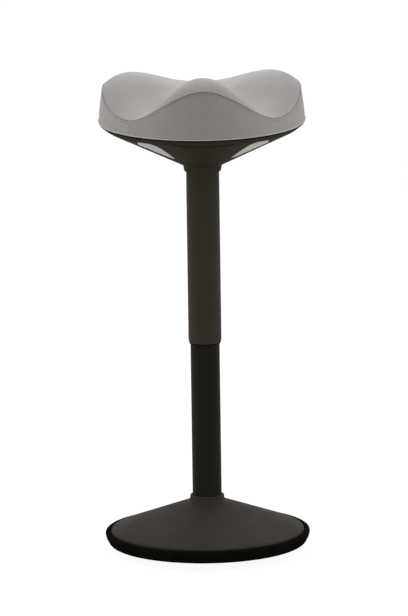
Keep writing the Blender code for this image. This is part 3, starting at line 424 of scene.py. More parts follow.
def finish_skin(mesh, material, sharp=SHARP):
    """One finish, smooth faces, and hard edges above an angle."""
    mesh.materials.clear()
    mesh.materials.append(material)
    for polygon in mesh.polygons:
        polygon.material_index = 0
        polygon.use_smooth = True
    mesh.set_sharp_from_angle(angle=math.radians(sharp))


def close_up(name, work, material, sharp=SHARP):
    """Face a closed skin outwards and make it a piece."""
    bmesh.ops.recalc_face_normals(work, faces=work.faces)
    mesh = bpy.data.meshes.new(name)
    work.to_mesh(mesh)
    work.free()
    finish_skin(mesh, material, sharp)
    return place_new(name, mesh)


# %% Turning
def turned(name, outline, sides, material, sharp=SHARP):
    """Spin a closed outline of (radius, height) about the column."""
    work = bmesh.new()
    rings = []
    for radius, z in outline:
        if radius < TINY:
            rings.append([work.verts.new((0.0, 0.0, z))] * sides)
            continue
        rings.append([work.verts.new(polar(360.0 * side / sides, radius, z)) for side in range(sides)])
    for index, here in enumerate(rings):
        there = rings[(index + 1) % len(rings)]
        for side in range(sides):
            after = (side + 1) % sides
            corners = list(dict.fromkeys((here[side], here[after], there[after], there[side])))
            if len(corners) > 2:
                work.faces.new(corners)
    return close_up(name, work, material, sharp)


def dress(obj, body, *nodes):
    """The piece stands for these solids and moves with their body."""
    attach(obj, body)
    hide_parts(*nodes)
    print(obj.name, "faces", len(obj.data.polygons), "for", ", ".join(nodes))
    return obj


# %% [markdown]
# ## The rocking foot
# A black rubber dish carries the chair. Its underside is part of a ball of one metre radius with a small
# flat spot, so the chair can lean in any direction and comes back upright. The rim stands proud round the
# grey cover, and four screws, sunk into the rubber, hold the dish to the iron weight.

# %% Rocker sole
SHELL_SIDES = 192
SOLE_RADIUS = 0.186
SOLE_THICKNESS = 0.006
ROCK_RADIUS = 1.0
FLAT_RADIUS = 0.055
FOOT_CURL = 0.008
FLANK_DRAFT = 0.0018
RIM_HEIGHT = 0.0372
RIM_BEVEL = 0.0015
COVER_RADIUS = 0.1755
COVER_GAP = 0.0004
LEDGE_HEIGHT = RIM_HEIGHT - 0.006
LEDGE_WIDTH = 0.008


def dome(radius):
    """Height of the underside at a radius."""
    return max(0.0, radius ** 2 - FLAT_RADIUS ** 2) / (2.0 * ROCK_RADIUS)


inner_edge = COVER_RADIUS - LEDGE_WIDTH
under = [(radius, dome(radius)) for radius in np.linspace(FLAT_RADIUS, SOLE_RADIUS - FOOT_CURL, 16)]
over = [(radius, dome(radius) + SOLE_THICKNESS) for radius in np.linspace(inner_edge, FLAT_RADIUS, 12)]
flank = [(SOLE_RADIUS - FLANK_DRAFT, 0.70 * RIM_HEIGHT), (SOLE_RADIUS, 0.90 * RIM_HEIGHT),
         (SOLE_RADIUS - RIM_BEVEL, RIM_HEIGHT), (COVER_RADIUS + COVER_GAP, RIM_HEIGHT),
         (COVER_RADIUS + COVER_GAP, LEDGE_HEIGHT), (inner_edge, LEDGE_HEIGHT)]
outline = [(0.0, 0.0)] + under + flank + over + [(0.0, SOLE_THICKNESS)]
radii = [0.0] * len(outline)
radii[len(under):len(under) + 5] = [0.004, 0.006, 0.004, 0.002, 0.0012]
sole = turned("rocker_sole_rubber", rounded(outline, radii), SHELL_SIDES, sole_rubber)
print("sole bottom:", round(min(vertex.co.z for vertex in sole.data.vertices), 5))

# %% [markdown]
# The screws sit in stepped holes from below: wide for the head, narrow for the shank. A Boolean modifier
# cuts them with plain round tools. It leaves hair-thin slivers where a tool grazes an edge, so a weld
# closes them, and the modifier's result becomes the piece's own mesh.

# %% Cutting
WELD = 0.000005


def weld(mesh):
    """Close the hair-thin slivers that a cut leaves, so that the skin stays in one piece."""
    work = bmesh.new()
    work.from_mesh(mesh)
    bmesh.ops.remove_doubles(work, verts=work.verts, dist=WELD)
    bmesh.ops.dissolve_degenerate(work, edges=work.edges, dist=WELD)
    bmesh.ops.triangulate(work, faces=[face for face in work.faces if len(face.verts) > 4])
    bmesh.ops.dissolve_degenerate(work, edges=work.edges, dist=WELD)
    bmesh.ops.holes_fill(work, edges=[edge for edge in work.edges if edge.is_boundary], sides=4)
    bmesh.ops.recalc_face_normals(work, faces=work.faces)
    work.to_mesh(mesh)
    work.free()


def combine(obj, tools, operation):
    """Cut, join or trim a piece with tool bodies, which are used up, and leave a plain mesh."""
    material = obj.data.materials[0]
    for tool in tools:
        step = obj.modifiers.new("combine", "BOOLEAN")
        step.operation = operation
        step.solver = "EXACT"
        step.object = tool
    graph = bpy.context.evaluated_depsgraph_get()
    mesh = bpy.data.meshes.new_from_object(obj.evaluated_get(graph))
    obj.modifiers.clear()
    weld(mesh)
    old = obj.data
    obj.data = mesh
    mesh.name = old.name
    bpy.data.meshes.remove(old)
    finish_skin(mesh, material)
    for tool in tools:
        bpy.data.objects.remove(tool, do_unlink=True)
    return obj


# %% Holes for the sole screws
TOOL_SIDES = 32
HEAD_HOLE = 0.0053
SHANK_HOLE = 0.0023
HOLE_LAP = 0.001
DRILL_PAST = 0.01
SOLE_SCREW_CIRCLE = 0.1092
SOLE_SCREW_TURNS = (0.0, 90.0, 180.0, 270.0)
SOLE_SCREW_SEAT = dome(SOLE_SCREW_CIRCLE) + 0.55 * SOLE_THICKNESS


def shift(obj, x, y):
    """Move a piece's mesh sideways."""
    obj.data.transform(Matrix.Translation((x, y, 0.0)))
    return obj


def drill(centre, radius, low, high, material):
    """Round tool on an upright axis through a point."""
    profile = [(0.0, low), (radius, low), (radius, high), (0.0, high)]
    return shift(turned("drill", profile, TOOL_SIDES, material), centre.x, centre.y)


def screw_hole(turn, circle, low, seat, high, material):
    """Two tools for one stepped hole at a place on a circle of screws."""
    centre = polar(turn, circle, 0.0)
    return [drill(centre, HEAD_HOLE, low, seat, material),
            drill(centre, SHANK_HOLE, low + HOLE_LAP, high, material)]


tools = []
above_sole = RIM_HEIGHT + DRILL_PAST
for turn in SOLE_SCREW_TURNS:
    tools += screw_hole(turn, SOLE_SCREW_CIRCLE, -DRILL_PAST, SOLE_SCREW_SEAT, above_sole, sole_rubber)
combine(sole, tools, "DIFFERENCE")
dress(sole, "base", "rocker_sole")

# %% [markdown]
# ## Cover and collar
# The cover is a shallow matt cone that hides the weight and the hub. A small collar closes the gap round
# the tube: it flares out at its foot until it lies almost in line with the cover, and its top edge catches
# a thin line of light. That line is thinner than a pixel, so the finish is made lighter there.

# %% Base cover
FIT = 0.0003
COVER_THICKNESS = 0.0025
COVER_SLOPE = 0.372
COVER_CHAMFER = 0.0032
COVER_LIP = 0.0005
TUBE_RADIUS = 0.0265
COLLAR_RADIUS = TUBE_RADIUS + 0.0045
COLLAR_FLARE = 0.0070
COLLAR_FOOT_RADIUS = COLLAR_RADIUS + COLLAR_FLARE
COVER_EDGE = RIM_HEIGHT + 0.0036
COVER_TOP_RADIUS = COLLAR_FOOT_RADIUS + 0.0015
COVER_TOP = COVER_EDGE + (COVER_RADIUS - COVER_CHAMFER - COVER_TOP_RADIUS) * COVER_SLOPE
hole = TUBE_RADIUS + 0.0025
drop = COVER_THICKNESS * math.hypot(1.0, COVER_SLOPE)
inside = COVER_RADIUS - COVER_THICKNESS
outline = [(COVER_RADIUS, LEDGE_HEIGHT + FIT), (COVER_RADIUS, COVER_EDGE - COVER_CHAMFER),
           (COVER_RADIUS - COVER_CHAMFER, COVER_EDGE), (COVER_TOP_RADIUS, COVER_TOP),
           (COVER_TOP_RADIUS - 0.002, COVER_TOP + COVER_LIP), (hole, COVER_TOP + COVER_LIP),
           (hole, COVER_TOP - drop), (COVER_TOP_RADIUS, COVER_TOP - drop), (inside, COVER_EDGE - drop),
           (inside, LEDGE_HEIGHT + FIT)]
radii = [0.0004, 0.0024, 0.0024, 0.002, 0.001, 0.0, 0.0, 0.0, 0.001, 0.0]
cover = turned("base_cover_shell", rounded(outline, radii), SHELL_SIDES, cover_plastic)
dress(cover, "base", "base_cover")


# %% Collar, with a painted highlight along its upper edge
COLLAR_SIDES = 128
COLLAR_SHARP = 60.0
COLLAR_FOOT = COVER_TOP + 0.0008
COLLAR_TOP = COLLAR_FOOT + 0.0118
FLARE_HEIGHT = 0.6 * (COLLAR_TOP - COLLAR_FOOT)
COLLAR_HIGHLIGHT = 0.0003


def tone_edge(material, height, above, tone):
    """Multiply a finish's colour by a tone on one side of a height, as painted light or painted shade along
    an edge.
    """
    tree = material.node_tree
    shader = tree.nodes["Principled BSDF"]
    parts = tree.nodes.new("ShaderNodeSeparateXYZ")
    tree.links.new(tree.nodes.new("ShaderNodeTexCoord").outputs["Object"], parts.inputs["Vector"])
    inside = sums(tree, "GREATER_THAN" if above else "LESS_THAN", parts.outputs["Z"], height)
    scale_colour(tree, shader, sums(tree, "ADD", sums(tree, "MULTIPLY", inside, tone - 1.0), 1.0))


# Painted highlight: the collar's top edge is made lighter, for the thin line of light that it catches.
tone_edge(collar_plastic, COLLAR_TOP - COLLAR_HIGHLIGHT, above=True, tone=1.45)
bore = TUBE_RADIUS + FIT
outline = [(bore, COLLAR_FOOT), (COLLAR_FOOT_RADIUS, COLLAR_FOOT)]
for share in np.linspace(0.1, 1.0, 10):
    height = FLARE_HEIGHT * share ** 2
    outline.append((COLLAR_FOOT_RADIUS - COLLAR_FLARE * share ** 0.5, COLLAR_FOOT + height))
outline += [(COLLAR_RADIUS, COLLAR_TOP), (bore, COLLAR_TOP)]
radii = [0.0] * (len(outline) - 2) + [0.0018, 0.0006]
collar = turned("base_collar_ring", rounded(outline, radii), COLLAR_SIDES, collar_plastic, COLLAR_SHARP)
dress(collar, "base", "base_collar")

# %% [markdown]
# ## The column
# Two tubes make the column. The lower one is fixed in the foot, and the sleeve slides over it with the
# seat. The sleeve's mouth is rolled inwards, and its lowest millimetres are painted dark as painted shade,
# which gives the line where they meet.

# %% Standpipe
TUBE_SIDES = 96
TUBE_WALL = 0.002
TUBE_TAPER = 0.0015
TUBE_FLOOR = 0.004
TAPER_TOP = COVER_TOP - 0.007
TAPER_RUN = 0.010
ROD_HOLE = 0.0046
low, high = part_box("standpipe")
inner = TUBE_RADIUS - TUBE_WALL
outline = [(ROD_HOLE, low[2]), (TUBE_RADIUS - TUBE_TAPER, low[2]), (TUBE_RADIUS, TAPER_TOP),
           (TUBE_RADIUS, high[2]), (inner, high[2]), (inner, TAPER_TOP + TAPER_RUN),
           (inner - TUBE_TAPER, TAPER_TOP), (inner - TUBE_TAPER, low[2] + TUBE_FLOOR),
           (ROD_HOLE, low[2] + TUBE_FLOOR)]
radii = [0.0, 0.0005, 0.002, 0.0005, 0.0005, 0.0, 0.0, 0.0, 0.0]
tube = turned("standpipe_tube", rounded(outline, radii), TUBE_SIDES, tube_coat)
dress(tube, "base", "standpipe")

# %% Sleeve
SLEEVE_RADIUS = TUBE_RADIUS + 0.0035
MOUTH_ROLL = 0.0065
MOUTH_WALL = 0.0005
MOUTH_SHADE = 0.0028
low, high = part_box("sleeve")
bore = TUBE_RADIUS + 0.0013
outline = [(bore, low[2]), (bore + MOUTH_WALL, low[2]), (SLEEVE_RADIUS, low[2] + MOUTH_ROLL),
           (SLEEVE_RADIUS, high[2]), (bore, high[2])]
radii = [0.0002, 0.0003, 0.004, 0.0004, 0.0]
sleeve = turned("sleeve_tube", rounded(outline, radii), TUBE_SIDES, sleeve_plastic)
# Painted shade: the sleeve's lowest millimetres are made nearly black, for the shadow at its mouth.
tone_edge(sleeve_plastic, low[2] + MOUTH_SHADE, above=False, tone=0.10)
dress(sleeve, "seat", "sleeve")

# %% [markdown]
# ## The pan under the seat
# The pan is a thin moulded cone with a short neck that slips over the sleeve. Two crescent windows let the
# release paddles through, and a shallow band is pressed into the front. The windows are cut from smooth
# outlines: a few measured points, in shares of the pan's radius, joined by a curve between the sharp
# corners.

# %% Outline of the windows
PAN_RADIUS = 0.186
CRESCENT = ((0.640, -0.655), (0.585, -0.716), (0.520, -0.757), (0.455, -0.728), (0.390, -0.632),
            (0.330, -0.505), (0.270, -0.366))
CRESCENT_FOOT = ((0.330, -0.364), (0.420, -0.412), (0.515, -0.472), (0.622, -0.515))
CRESCENT_STEPS = 6
CRESCENT_CORNER = 0.0012


def smooth_run(points, steps):
    """Curve through points, ending on the first and the last."""
    spots = [Vector(point) for point in points]
    spots = [2.0 * spots[0] - spots[1]] + spots + [2.0 * spots[-1] - spots[-2]]
    run = []
    for index in range(1, len(spots) - 2):
        before, here, there, after = spots[index - 1:index + 3]
        for step in range(steps):
            share = step / steps
            square = share * share
            cube = square * share
            run.append(0.5 * (2.0 * here + (there - before) * share
                              + (2.0 * before - 5.0 * here + 4.0 * there - after) * square
                              + (3.0 * here - before - 3.0 * there + after) * cube))
    run.append(spots[-2])
    return run


def crescent(side, grow):
    """Plan outline of one paddle, in metres, grown outwards by a margin."""
    upper = smooth_run(CRESCENT, CRESCENT_STEPS)
    lower = smooth_run(CRESCENT_FOOT, CRESCENT_STEPS)
    corners = [tuple(spot * PAN_RADIUS) for spot in upper + lower]
    radii = [0.0] * len(corners)
    for sharp in (0, len(upper) - 1, len(upper), len(corners) - 1):
        radii[sharp] = CRESCENT_CORNER
    spots = [Vector(spot) for spot in rounded(corners, radii, 4)]
    outline = []
    for index, spot in enumerate(spots):
        before = (spot - spots[index - 1]).normalized()
        after = (spots[(index + 1) % len(spots)] - spot).normalized()
        square = Vector((before.y + after.y, -before.x - after.x)).normalized()
        moved = spot - square * grow
        outline.append((side * moved.x, moved.y))
    return outline


print("crescent points:", len(crescent(1.0, 0.0)))

# %% [markdown]
# The neck is painted a little lighter than the cone, as painted light against the shade under the cone,
# and the last millimetres under the hem are painted dark as painted shade. Both are tones in the finish.

# %% Pan shell
NECK_BOTTOM = 0.7027
CONE_BOTTOM = NECK_BOTTOM + 0.0113
NECK_RADIUS = SLEEVE_RADIUS + 0.0050
NECK_MOUTH = 0.002
NECK_DRAFT = 0.0008
NECK_STEP = 0.004
PAN_SLOPE = 0.493
PAN_THICKNESS = 0.0033
LIP_RADIUS = PAN_RADIUS - 0.012
LIP_BEVEL = 0.0008
LIP_BEVEL_DROP = 0.0015
LIP_WALL = 0.0028
LIP_SHADE = 0.0024
PAN_TOP = CONE_BOTTOM + (LIP_RADIUS - NECK_RADIUS) * PAN_SLOPE + 0.0114


def cone(radius):
    """Height of the pan's outside at a radius."""
    return CONE_BOTTOM + (radius - NECK_RADIUS) * PAN_SLOPE


bore = SLEEVE_RADIUS + FIT
lip_inside = LIP_RADIUS - 0.001
outline = [(bore, NECK_BOTTOM), (NECK_RADIUS - NECK_MOUTH, NECK_BOTTOM),
           (NECK_RADIUS - NECK_DRAFT, NECK_BOTTOM + NECK_STEP), (NECK_RADIUS, CONE_BOTTOM),
           (LIP_RADIUS, cone(LIP_RADIUS)), (PAN_RADIUS, PAN_TOP - LIP_BEVEL_DROP),
           (PAN_RADIUS - LIP_BEVEL, PAN_TOP), (PAN_RADIUS - LIP_WALL, PAN_TOP),
           (lip_inside, cone(lip_inside) + PAN_THICKNESS), (bore, cone(bore) + PAN_THICKNESS)]
radii = [0.0, 0.0012, 0.003, 0.006, 0.006, 0.0006, 0.0004, 0.0004, 0.004, 0.0]
pan = turned("seat_pan_shell", rounded(outline, radii), SHELL_SIDES, pan_plastic)
# Painted light: the neck is made lighter than the cone, against the shade that falls under the cone.
tone_edge(pan_plastic, CONE_BOTTOM, above=False, tone=1.45)
# Painted shade: the top of the lip, in the gap under the hem, is made dark.
tone_edge(pan_plastic, PAN_TOP - LIP_SHADE, above=True, tone=0.35)
print("pan height:", round(PAN_TOP - NECK_BOTTOM, 4))

# %% [markdown]
# The front band is a thin bent bar that is cut out of the cone; it keeps its width almost to its ends and
# then narrows. Screws go up through posts into the seat board, so the pan also gets four posts and four
# stepped holes from below.

# %% Front band
BAND_ANGLE = 19.0
BAND_DEPTH = 0.0022
BAND_NARROWING = 0.9
BAND_BLUNTNESS = 8
BAND_NEAR = PAN_RADIUS - 0.022
BAND_FAR = PAN_RADIUS - 0.006
BAND_STEPS = 32


def front_band():
    """Bent bar across the front of the cone, sunk in by the depth of the band."""
    middle = 0.5 * (BAND_NEAR + BAND_FAR)
    work = bmesh.new()
    rows = []
    for step in range(BAND_STEPS + 1):
        share = 2.0 * step / BAND_STEPS - 1.0
        half = 0.5 * (BAND_FAR - BAND_NEAR) * (1.0 - BAND_NARROWING * share ** BAND_BLUNTNESS)
        row = []
        for radius, lift in ((middle - half, -DRILL_PAST), (middle + half, -DRILL_PAST),
                             (middle + half, BAND_DEPTH), (middle - half, BAND_DEPTH)):
            row.append(work.verts.new(polar(BAND_ANGLE * share, radius, cone(radius) + lift)))
        rows.append(row)
    for here, there in zip(rows[:-1], rows[1:]):
        for corner in range(4):
            after = (corner + 1) % 4
            work.faces.new((here[corner], here[after], there[after], there[corner]))
    work.faces.new(rows[0])
    work.faces.new(rows[-1])
    return close_up("band", work, pan_plastic)


# %% Posts, windows and holes
BOARD_LOW, BOARD_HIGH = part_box("seat_board")
BOARD_BOTTOM = BOARD_LOW[2]
WINDOW_GAP = 0.0014
POST_RADIUS = 0.0078
PAN_SCREW_CIRCLE = 0.75 * PAN_RADIUS
PAN_SCREW_TURNS = (-155.0, -100.0, 100.0, 155.0)
PAN_SCREW_SEAT = cone(PAN_SCREW_CIRCLE) + 0.009


def upright(name, outline, low, high, material):
    """Stand a plan outline up between two heights."""
    work = bmesh.new()
    foot = [work.verts.new((x, y, low)) for x, y in outline]
    head = [work.verts.new((x, y, high)) for x, y in outline]
    work.faces.new(foot)
    work.faces.new(head)
    for index in range(len(outline)):
        after = (index + 1) % len(outline)
        work.faces.new((foot[index], foot[after], head[after], head[index]))
    return close_up(name, work, material)


def screw_post(turn):
    """Post from the middle of the cone's wall up to the seat board."""
    centre = polar(turn, PAN_SCREW_CIRCLE, 0.0)
    profile = [(0.0, 0.0), (POST_RADIUS, 0.0), (POST_RADIUS, 1.0), (0.0, 1.0)]
    post = shift(turned("post", profile, TOOL_SIDES, pan_plastic), centre.x, centre.y)
    for vertex in post.data.vertices:
        foot = cone(math.hypot(vertex.co.x, vertex.co.y)) + 0.5 * PAN_THICKNESS
        vertex.co.z = foot if vertex.co.z < 0.5 else BOARD_BOTTOM - FIT
    return post


combine(pan, [screw_post(turn) for turn in PAN_SCREW_TURNS], "UNION")
tools = [front_band()]
for side in (-1.0, 1.0):
    tools.append(upright("window", crescent(side, WINDOW_GAP), NECK_BOTTOM, PAN_TOP, pan_plastic))
above_posts = BOARD_BOTTOM + DRILL_PAST
for turn in PAN_SCREW_TURNS:
    tools += screw_hole(turn, PAN_SCREW_CIRCLE, CONE_BOTTOM, PAN_SCREW_SEAT, above_posts, pan_plastic)
combine(pan, tools, "DIFFERENCE")
dress(pan, "seat", "seat_pan")

# %% [markdown]
# ## Release paddles
# Each paddle is a light grey crescent that fills its window flush and tips up when it is lifted. It is cut
# from the same cone as the pan, a touch smaller than the window, with a wider rim inside and a stud that
# clips into the steel yoke.

# %% Paddles
PADDLE_RADIUS = LIP_RADIUS - 0.0015
PLUG_RADIUS = PADDLE_RADIUS - 0.0015
PADDLE_RIM = 0.0045
PADDLE_THICKNESS = 0.0030
RIM_LIFT = PAN_THICKNESS + 0.0006
RIM_MIDDLE = RIM_LIFT + 0.5 * PADDLE_THICKNESS
STUD = (0.425 * PAN_RADIUS, -0.500 * PAN_RADIUS)
STUD_RADIUS = 0.006
STUD_TIP_RADIUS = 0.003
STUD_TIP = 0.0045
YOKE_THICKNESS = 0.003


def cone_slab(name, outline, edge, low, high):
    """Part of a cone plate between two heights above the pan's outside, inside a plan outline."""
    profile = [(NECK_RADIUS, cone(NECK_RADIUS) + low), (edge, cone(edge) + low), (edge, cone(edge) + high),
               (NECK_RADIUS, cone(NECK_RADIUS) + high)]
    slab = turned(name, profile, SHELL_SIDES, paddle_plastic)
    tool = upright("outline", outline, NECK_BOTTOM, BOARD_BOTTOM, paddle_plastic)
    return combine(slab, [tool], "INTERSECT")


def paddle(name, side):
    """Rim behind the window, plug that fills it, and stud up to the yoke."""
    obj = cone_slab(name, crescent(side, PADDLE_RIM), PADDLE_RADIUS, RIM_LIFT, RIM_LIFT + PADDLE_THICKNESS)
    plug = cone_slab("plug", crescent(side, 0.0), PLUG_RADIUS, 0.0, RIM_MIDDLE)
    foot = cone(math.hypot(*STUD)) + RIM_MIDDLE
    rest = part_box("release_yoke")[1][2] - YOKE_THICKNESS - FIT
    profile = [(0.0, foot), (STUD_RADIUS, foot), (STUD_RADIUS, rest), (STUD_TIP_RADIUS, rest),
               (STUD_TIP_RADIUS, rest + STUD_TIP), (0.0, rest + STUD_TIP)]
    stud = shift(turned("stud", profile, TOOL_SIDES, paddle_plastic), side * STUD[0], STUD[1])
    return combine(obj, [plug, stud], "UNION")


dress(paddle("release_paddle_left", -1.0), "lever", "paddle_left")
dress(paddle("release_paddle_right", 1.0), "lever", "paddle_right")

# %% [markdown]
# ## Screws that can be seen from below
# The sole and the pan are each held by four cross-head screws. One screw is modelled, and a Geometry Nodes
# tree copies it to four points, so that a change to the screw changes all of them. The tree ends in Realize
# Instances, because instances don't survive an export. Its start and its end are made by one function,
# which the stitches use again.

# %% One screw
SCREW_HEAD = 0.005
SCREW_SHANK = 0.002


def screw_shape(name, depth, length):
    """Cross-head screw with its seat at the origin and its point up."""
    outline = [(0.0, -depth), (SCREW_HEAD * 0.80, -depth), (SCREW_HEAD, -depth * 0.55), (SCREW_HEAD, 0.0),
               (SCREW_SHANK, 0.0), (SCREW_SHANK, length - SCREW_SHANK), (0.0, length)]
    radii = [0.0, depth * 0.4, depth * 0.3, 0.0, 0.0, 0.0, 0.0]
    obj = turned(name, rounded(outline, radii, 3), TOOL_SIDES, zinc_steel)
    half = SCREW_HEAD * 0.55
    wide = SCREW_HEAD * 0.13
    plan = [(-half, -wide), (half, -wide), (half, wide), (-half, wide)]
    slots = []
    for turn in (0.0, 90.0):
        bar = upright("slot", plan, -depth * 2.0, -depth * 0.35, zinc_steel)
        bar.data.transform(Matrix.Rotation(math.radians(turn), 4, "Z"))
        slots.append(bar)
    return combine(obj, slots, "DIFFERENCE")


# %% Tree that copies a shape
def copy_tree(name, sizes, material):
    """Tree with named sizes, whose copies of a shape end as one mesh in one finish."""
    tree = bpy.data.node_groups.new(name, "GeometryNodeTree")
    tree.interface.new_socket("Geometry", in_out="INPUT", socket_type="NodeSocketGeometry")
    for label in sizes:
        tree.interface.new_socket(label, in_out="INPUT", socket_type="NodeSocketFloat")
    tree.interface.new_socket("Geometry", in_out="OUTPUT", socket_type="NodeSocketGeometry")
    start = tree.nodes.new("NodeGroupInput")
    copies = tree.nodes.new("GeometryNodeInstanceOnPoints")
    whole = tree.nodes.new("GeometryNodeRealizeInstances")
    finish = add_node(tree, "GeometryNodeSetMaterial", {"Material": material})
    end = tree.nodes.new("NodeGroupOutput")
    tree.links.new(copies.outputs["Instances"], whole.inputs["Geometry"])
    tree.links.new(whole.outputs["Geometry"], finish.inputs["Geometry"])
    tree.links.new(finish.outputs["Geometry"], end.inputs["Geometry"])
    return tree, start, copies


def run_tree(obj, tree, sizes, material):
    """Set a tree's sizes on an object and turn what it makes into a plain mesh."""
    step = obj.modifiers.new("copies", "NODES")
    step.node_group = tree
    for socket in tree.interface.items_tree:
        if socket.in_out == "INPUT" and socket.name in sizes:
            step[socket.identifier] = sizes[socket.name]
    graph = bpy.context.evaluated_depsgraph_get()
    mesh = bpy.data.meshes.new_from_object(obj.evaluated_get(graph))
    name = obj.name
    bpy.data.objects.remove(obj, do_unlink=True)
    finish_skin(mesh, material)
    return place_new(name, mesh)


# %% Screws on points
def screws(name, body, node, turns, circle, seat, depth):
    """Screws on a circle, in place of the solids that are numbered from 1."""
    points = [polar(turn, circle, seat - FIT) for turn in turns]
    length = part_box(node + "_1")[1][2] - points[0].z
    screw = screw_shape(node, depth, length)
    sizes = {"Screw size": 1.0}
    tree, start, copies = copy_tree(name + "_tree", sizes, zinc_steel)
    shape = add_node(tree, "GeometryNodeObjectInfo", {"Object": screw})
    tree.links.new(start.outputs["Geometry"], copies.inputs["Points"])
    tree.links.new(shape.outputs["Geometry"], copies.inputs["Instance"])
    tree.links.new(start.outputs["Screw size"], copies.inputs["Scale"])
    mesh = bpy.data.meshes.new(name)
    mesh.from_pydata([tuple(point) for point in points], [], [])
    group = run_tree(place_new(name, mesh), tree, sizes, zinc_steel)
    bpy.data.objects.remove(screw, do_unlink=True)
    dress(group, body, *[f"{node}_{index}" for index in range(1, len(turns) + 1)])


screws("sole_screws", "base", "sole_screw", SOLE_SCREW_TURNS, SOLE_SCREW_CIRCLE, SOLE_SCREW_SEAT,
       depth=0.0022)
screws("pan_screws", "seat", "pan_screw", PAN_SCREW_TURNS, PAN_SCREW_CIRCLE, PAN_SCREW_SEAT,
       depth=0.003)

# %% [markdown]
# ## Cloth
# The seat is covered in a fine warm-grey twill. The weave is far too small to model, so it is drawn from
# the cloth's own flat coordinates, in metres: the top panel is cut flat, and the side band runs round the
# seat. Two sine waves make the diagonal ribs and the cross threads, and noise breaks them up as real yarn
# does. The same waves give the bump.

# %% Woven cloth
FLAT_MAP = "flat"
SLUB = 0.0016
RIB_TONE = 0.34
THREAD_TONE = 0.20
FUZZ_TONE = 0.5
MOTTLE_TONE = 0.35


def flat_place(tree):
    """The cloth's own flat coordinates."""
    node = tree.nodes.new("ShaderNodeUVMap")
    node.uv_map = FLAT_MAP
    return node.outputs["UV"]


def wave(tree, value, turns, height):
    """Sine of a value times some turns, scaled to a height."""
    return sums(tree, "MULTIPLY", sums(tree, "SINE", sums(tree, "MULTIPLY", value, turns), 0.0), height)


def centred(tree, noise, height):
    """Noise that swings about zero, scaled to a height."""
    return sums(tree, "MULTIPLY", sums(tree, "SUBTRACT", noise, 0.5), height)


def woven(name, dark, light, pitch=0.0040, strength=0.7):
    """Twill with ribs at a pitch in metres, between two colours."""
    material, tree, shader, _ = start_finish(name, 0.93, gloss=0.12)
    shader.inputs["Sheen Weight"].default_value = 0.10
    shader.inputs["Sheen Roughness"].default_value = 0.45
    flat = flat_place(tree)
    parts = tree.nodes.new("ShaderNodeSeparateXYZ")
    tree.links.new(flat, parts.inputs["Vector"])
    slub = sums(tree, "MULTIPLY", cloud(tree, flat, 140.0, 3.0), SLUB)
    across = sums(tree, "ADD", parts.outputs["X"], slub)
    along = sums(tree, "ADD", parts.outputs["Y"], slub)
    full = 2.0 * math.pi / pitch
    rib = wave(tree, sums(tree, "ADD", across, along), full, RIB_TONE)
    thread = wave(tree, sums(tree, "SUBTRACT", across, along), 2.0 * full, THREAD_TONE)
    weave = sums(tree, "ADD", sums(tree, "ADD", rib, thread), 0.5)
    weave = sums(tree, "ADD", weave, centred(tree, cloud(tree, flat, 1500.0, 3.0), FUZZ_TONE))
    tone = sums(tree, "ADD", weave, centred(tree, cloud(tree, flat, 30.0, 5.0), MOTTLE_TONE))
    colour_by(tree, shader, tone, dark, light, 0.1, 0.9)
    relief(tree, shader, weave, 0.00035, strength)
    return material


top_cloth = woven("top_cloth", (0.315, 0.295, 0.289), (0.437, 0.415, 0.408), strength=0.3)
band_cloth = woven("band_cloth", (0.272, 0.254, 0.247), (0.457, 0.432, 0.422))
hem_cloth = woven("hem_cloth", (0.550, 0.528, 0.510), (0.680, 0.655, 0.640), 0.0024)
print("cloth finishes:", top_cloth.name, band_cloth.name, hem_cloth.name)

# %% [markdown]
# ## The form of the seat
# Seen from above the seat is round. Along its edge the height swings from the pommel at the front through
# two valleys, where the thighs lie, up to the two wings and down to the rear. The seam that joins the top
# panel to the side band swings with it. A few heights and one easing curve describe all of it.

# %% Heights round the seat
SEAT_EDGE = PAN_TOP + 0.0036
SEAT_RADIUS = PAN_RADIUS + 0.0015
SEAM_RADIUS = SEAT_RADIUS - 0.0065
SEAT_CENTRE = 0.0541
CLOTH = 0.0014
WING = 103.0
RIDGE = ((0.0, 0.1020), (49.0, 0.0301), (WING, 0.0818), (180.0, 0.0428))
SEAM = ((0.0, 0.0851), (49.0, 0.0232), (WING, 0.0611), (180.0, 0.0336))
POMMEL_BREADTH = 1.2
CREST_SHARE = 0.8
FALL_SHARE = 0.70
FALL_POWER = 2.5
SIDE_POWER = 1.6


def around(angle, stops, broad=1.0):
    """Height at an angle, eased from stop to stop; broad widens the pommel."""
    angle = abs((angle + 180.0) % 360.0 - 180.0)
    for start, end in zip(stops[:-1], stops[1:]):
        if angle <= end[0]:
            share = (angle - start[0]) / (end[0] - start[0])
            if start[0] == 0.0:
                share = share ** broad
            return start[1] + (end[1] - start[1]) * share * share * (3.0 - 2.0 * share)
    return stops[-1][1]


def top_height(angle, share):
    """Height of the top panel at a share of the seam's radius."""
    ridge = around(angle, RIDGE, POMMEL_BREADTH)
    rise = min(1.0, share / CREST_SHARE)
    rise = rise ** 3 * (10.0 - 15.0 * rise + 6.0 * rise ** 2)
    fall = (max(0.0, share - FALL_SHARE) / (1.0 - FALL_SHARE)) ** FALL_POWER
    return SEAT_EDGE + SEAT_CENTRE + (ridge - SEAT_CENTRE) * rise - (ridge - around(angle, SEAM)) * fall


def side_spot(angle, share):
    """(radius, height) on the side band, from the seam at 0 to the hem at 1."""
    radius = SEAM_RADIUS + (SEAT_RADIUS - SEAM_RADIUS) * (1.0 - (1.0 - share) ** SIDE_POWER)
    return radius, SEAT_EDGE + around(angle, SEAM) * (1.0 - share)


heights = [round(top_height(turn, CREST_SHARE), 4) for turn in (0.0, WING, 180.0)]
print("pommel, wing and rear tops:", heights)

# %% [markdown]
# Painted shade: the top panel's finish is toned down towards the seam, where the cloth rolls over the
# edge, by the distance from the middle in its own flat coordinates, so that no shape is needed for it.

# %% Painted shade at the rim of the top panel
RIM_WIDTH = 0.075
RIM_SHADE_TONE = 0.83


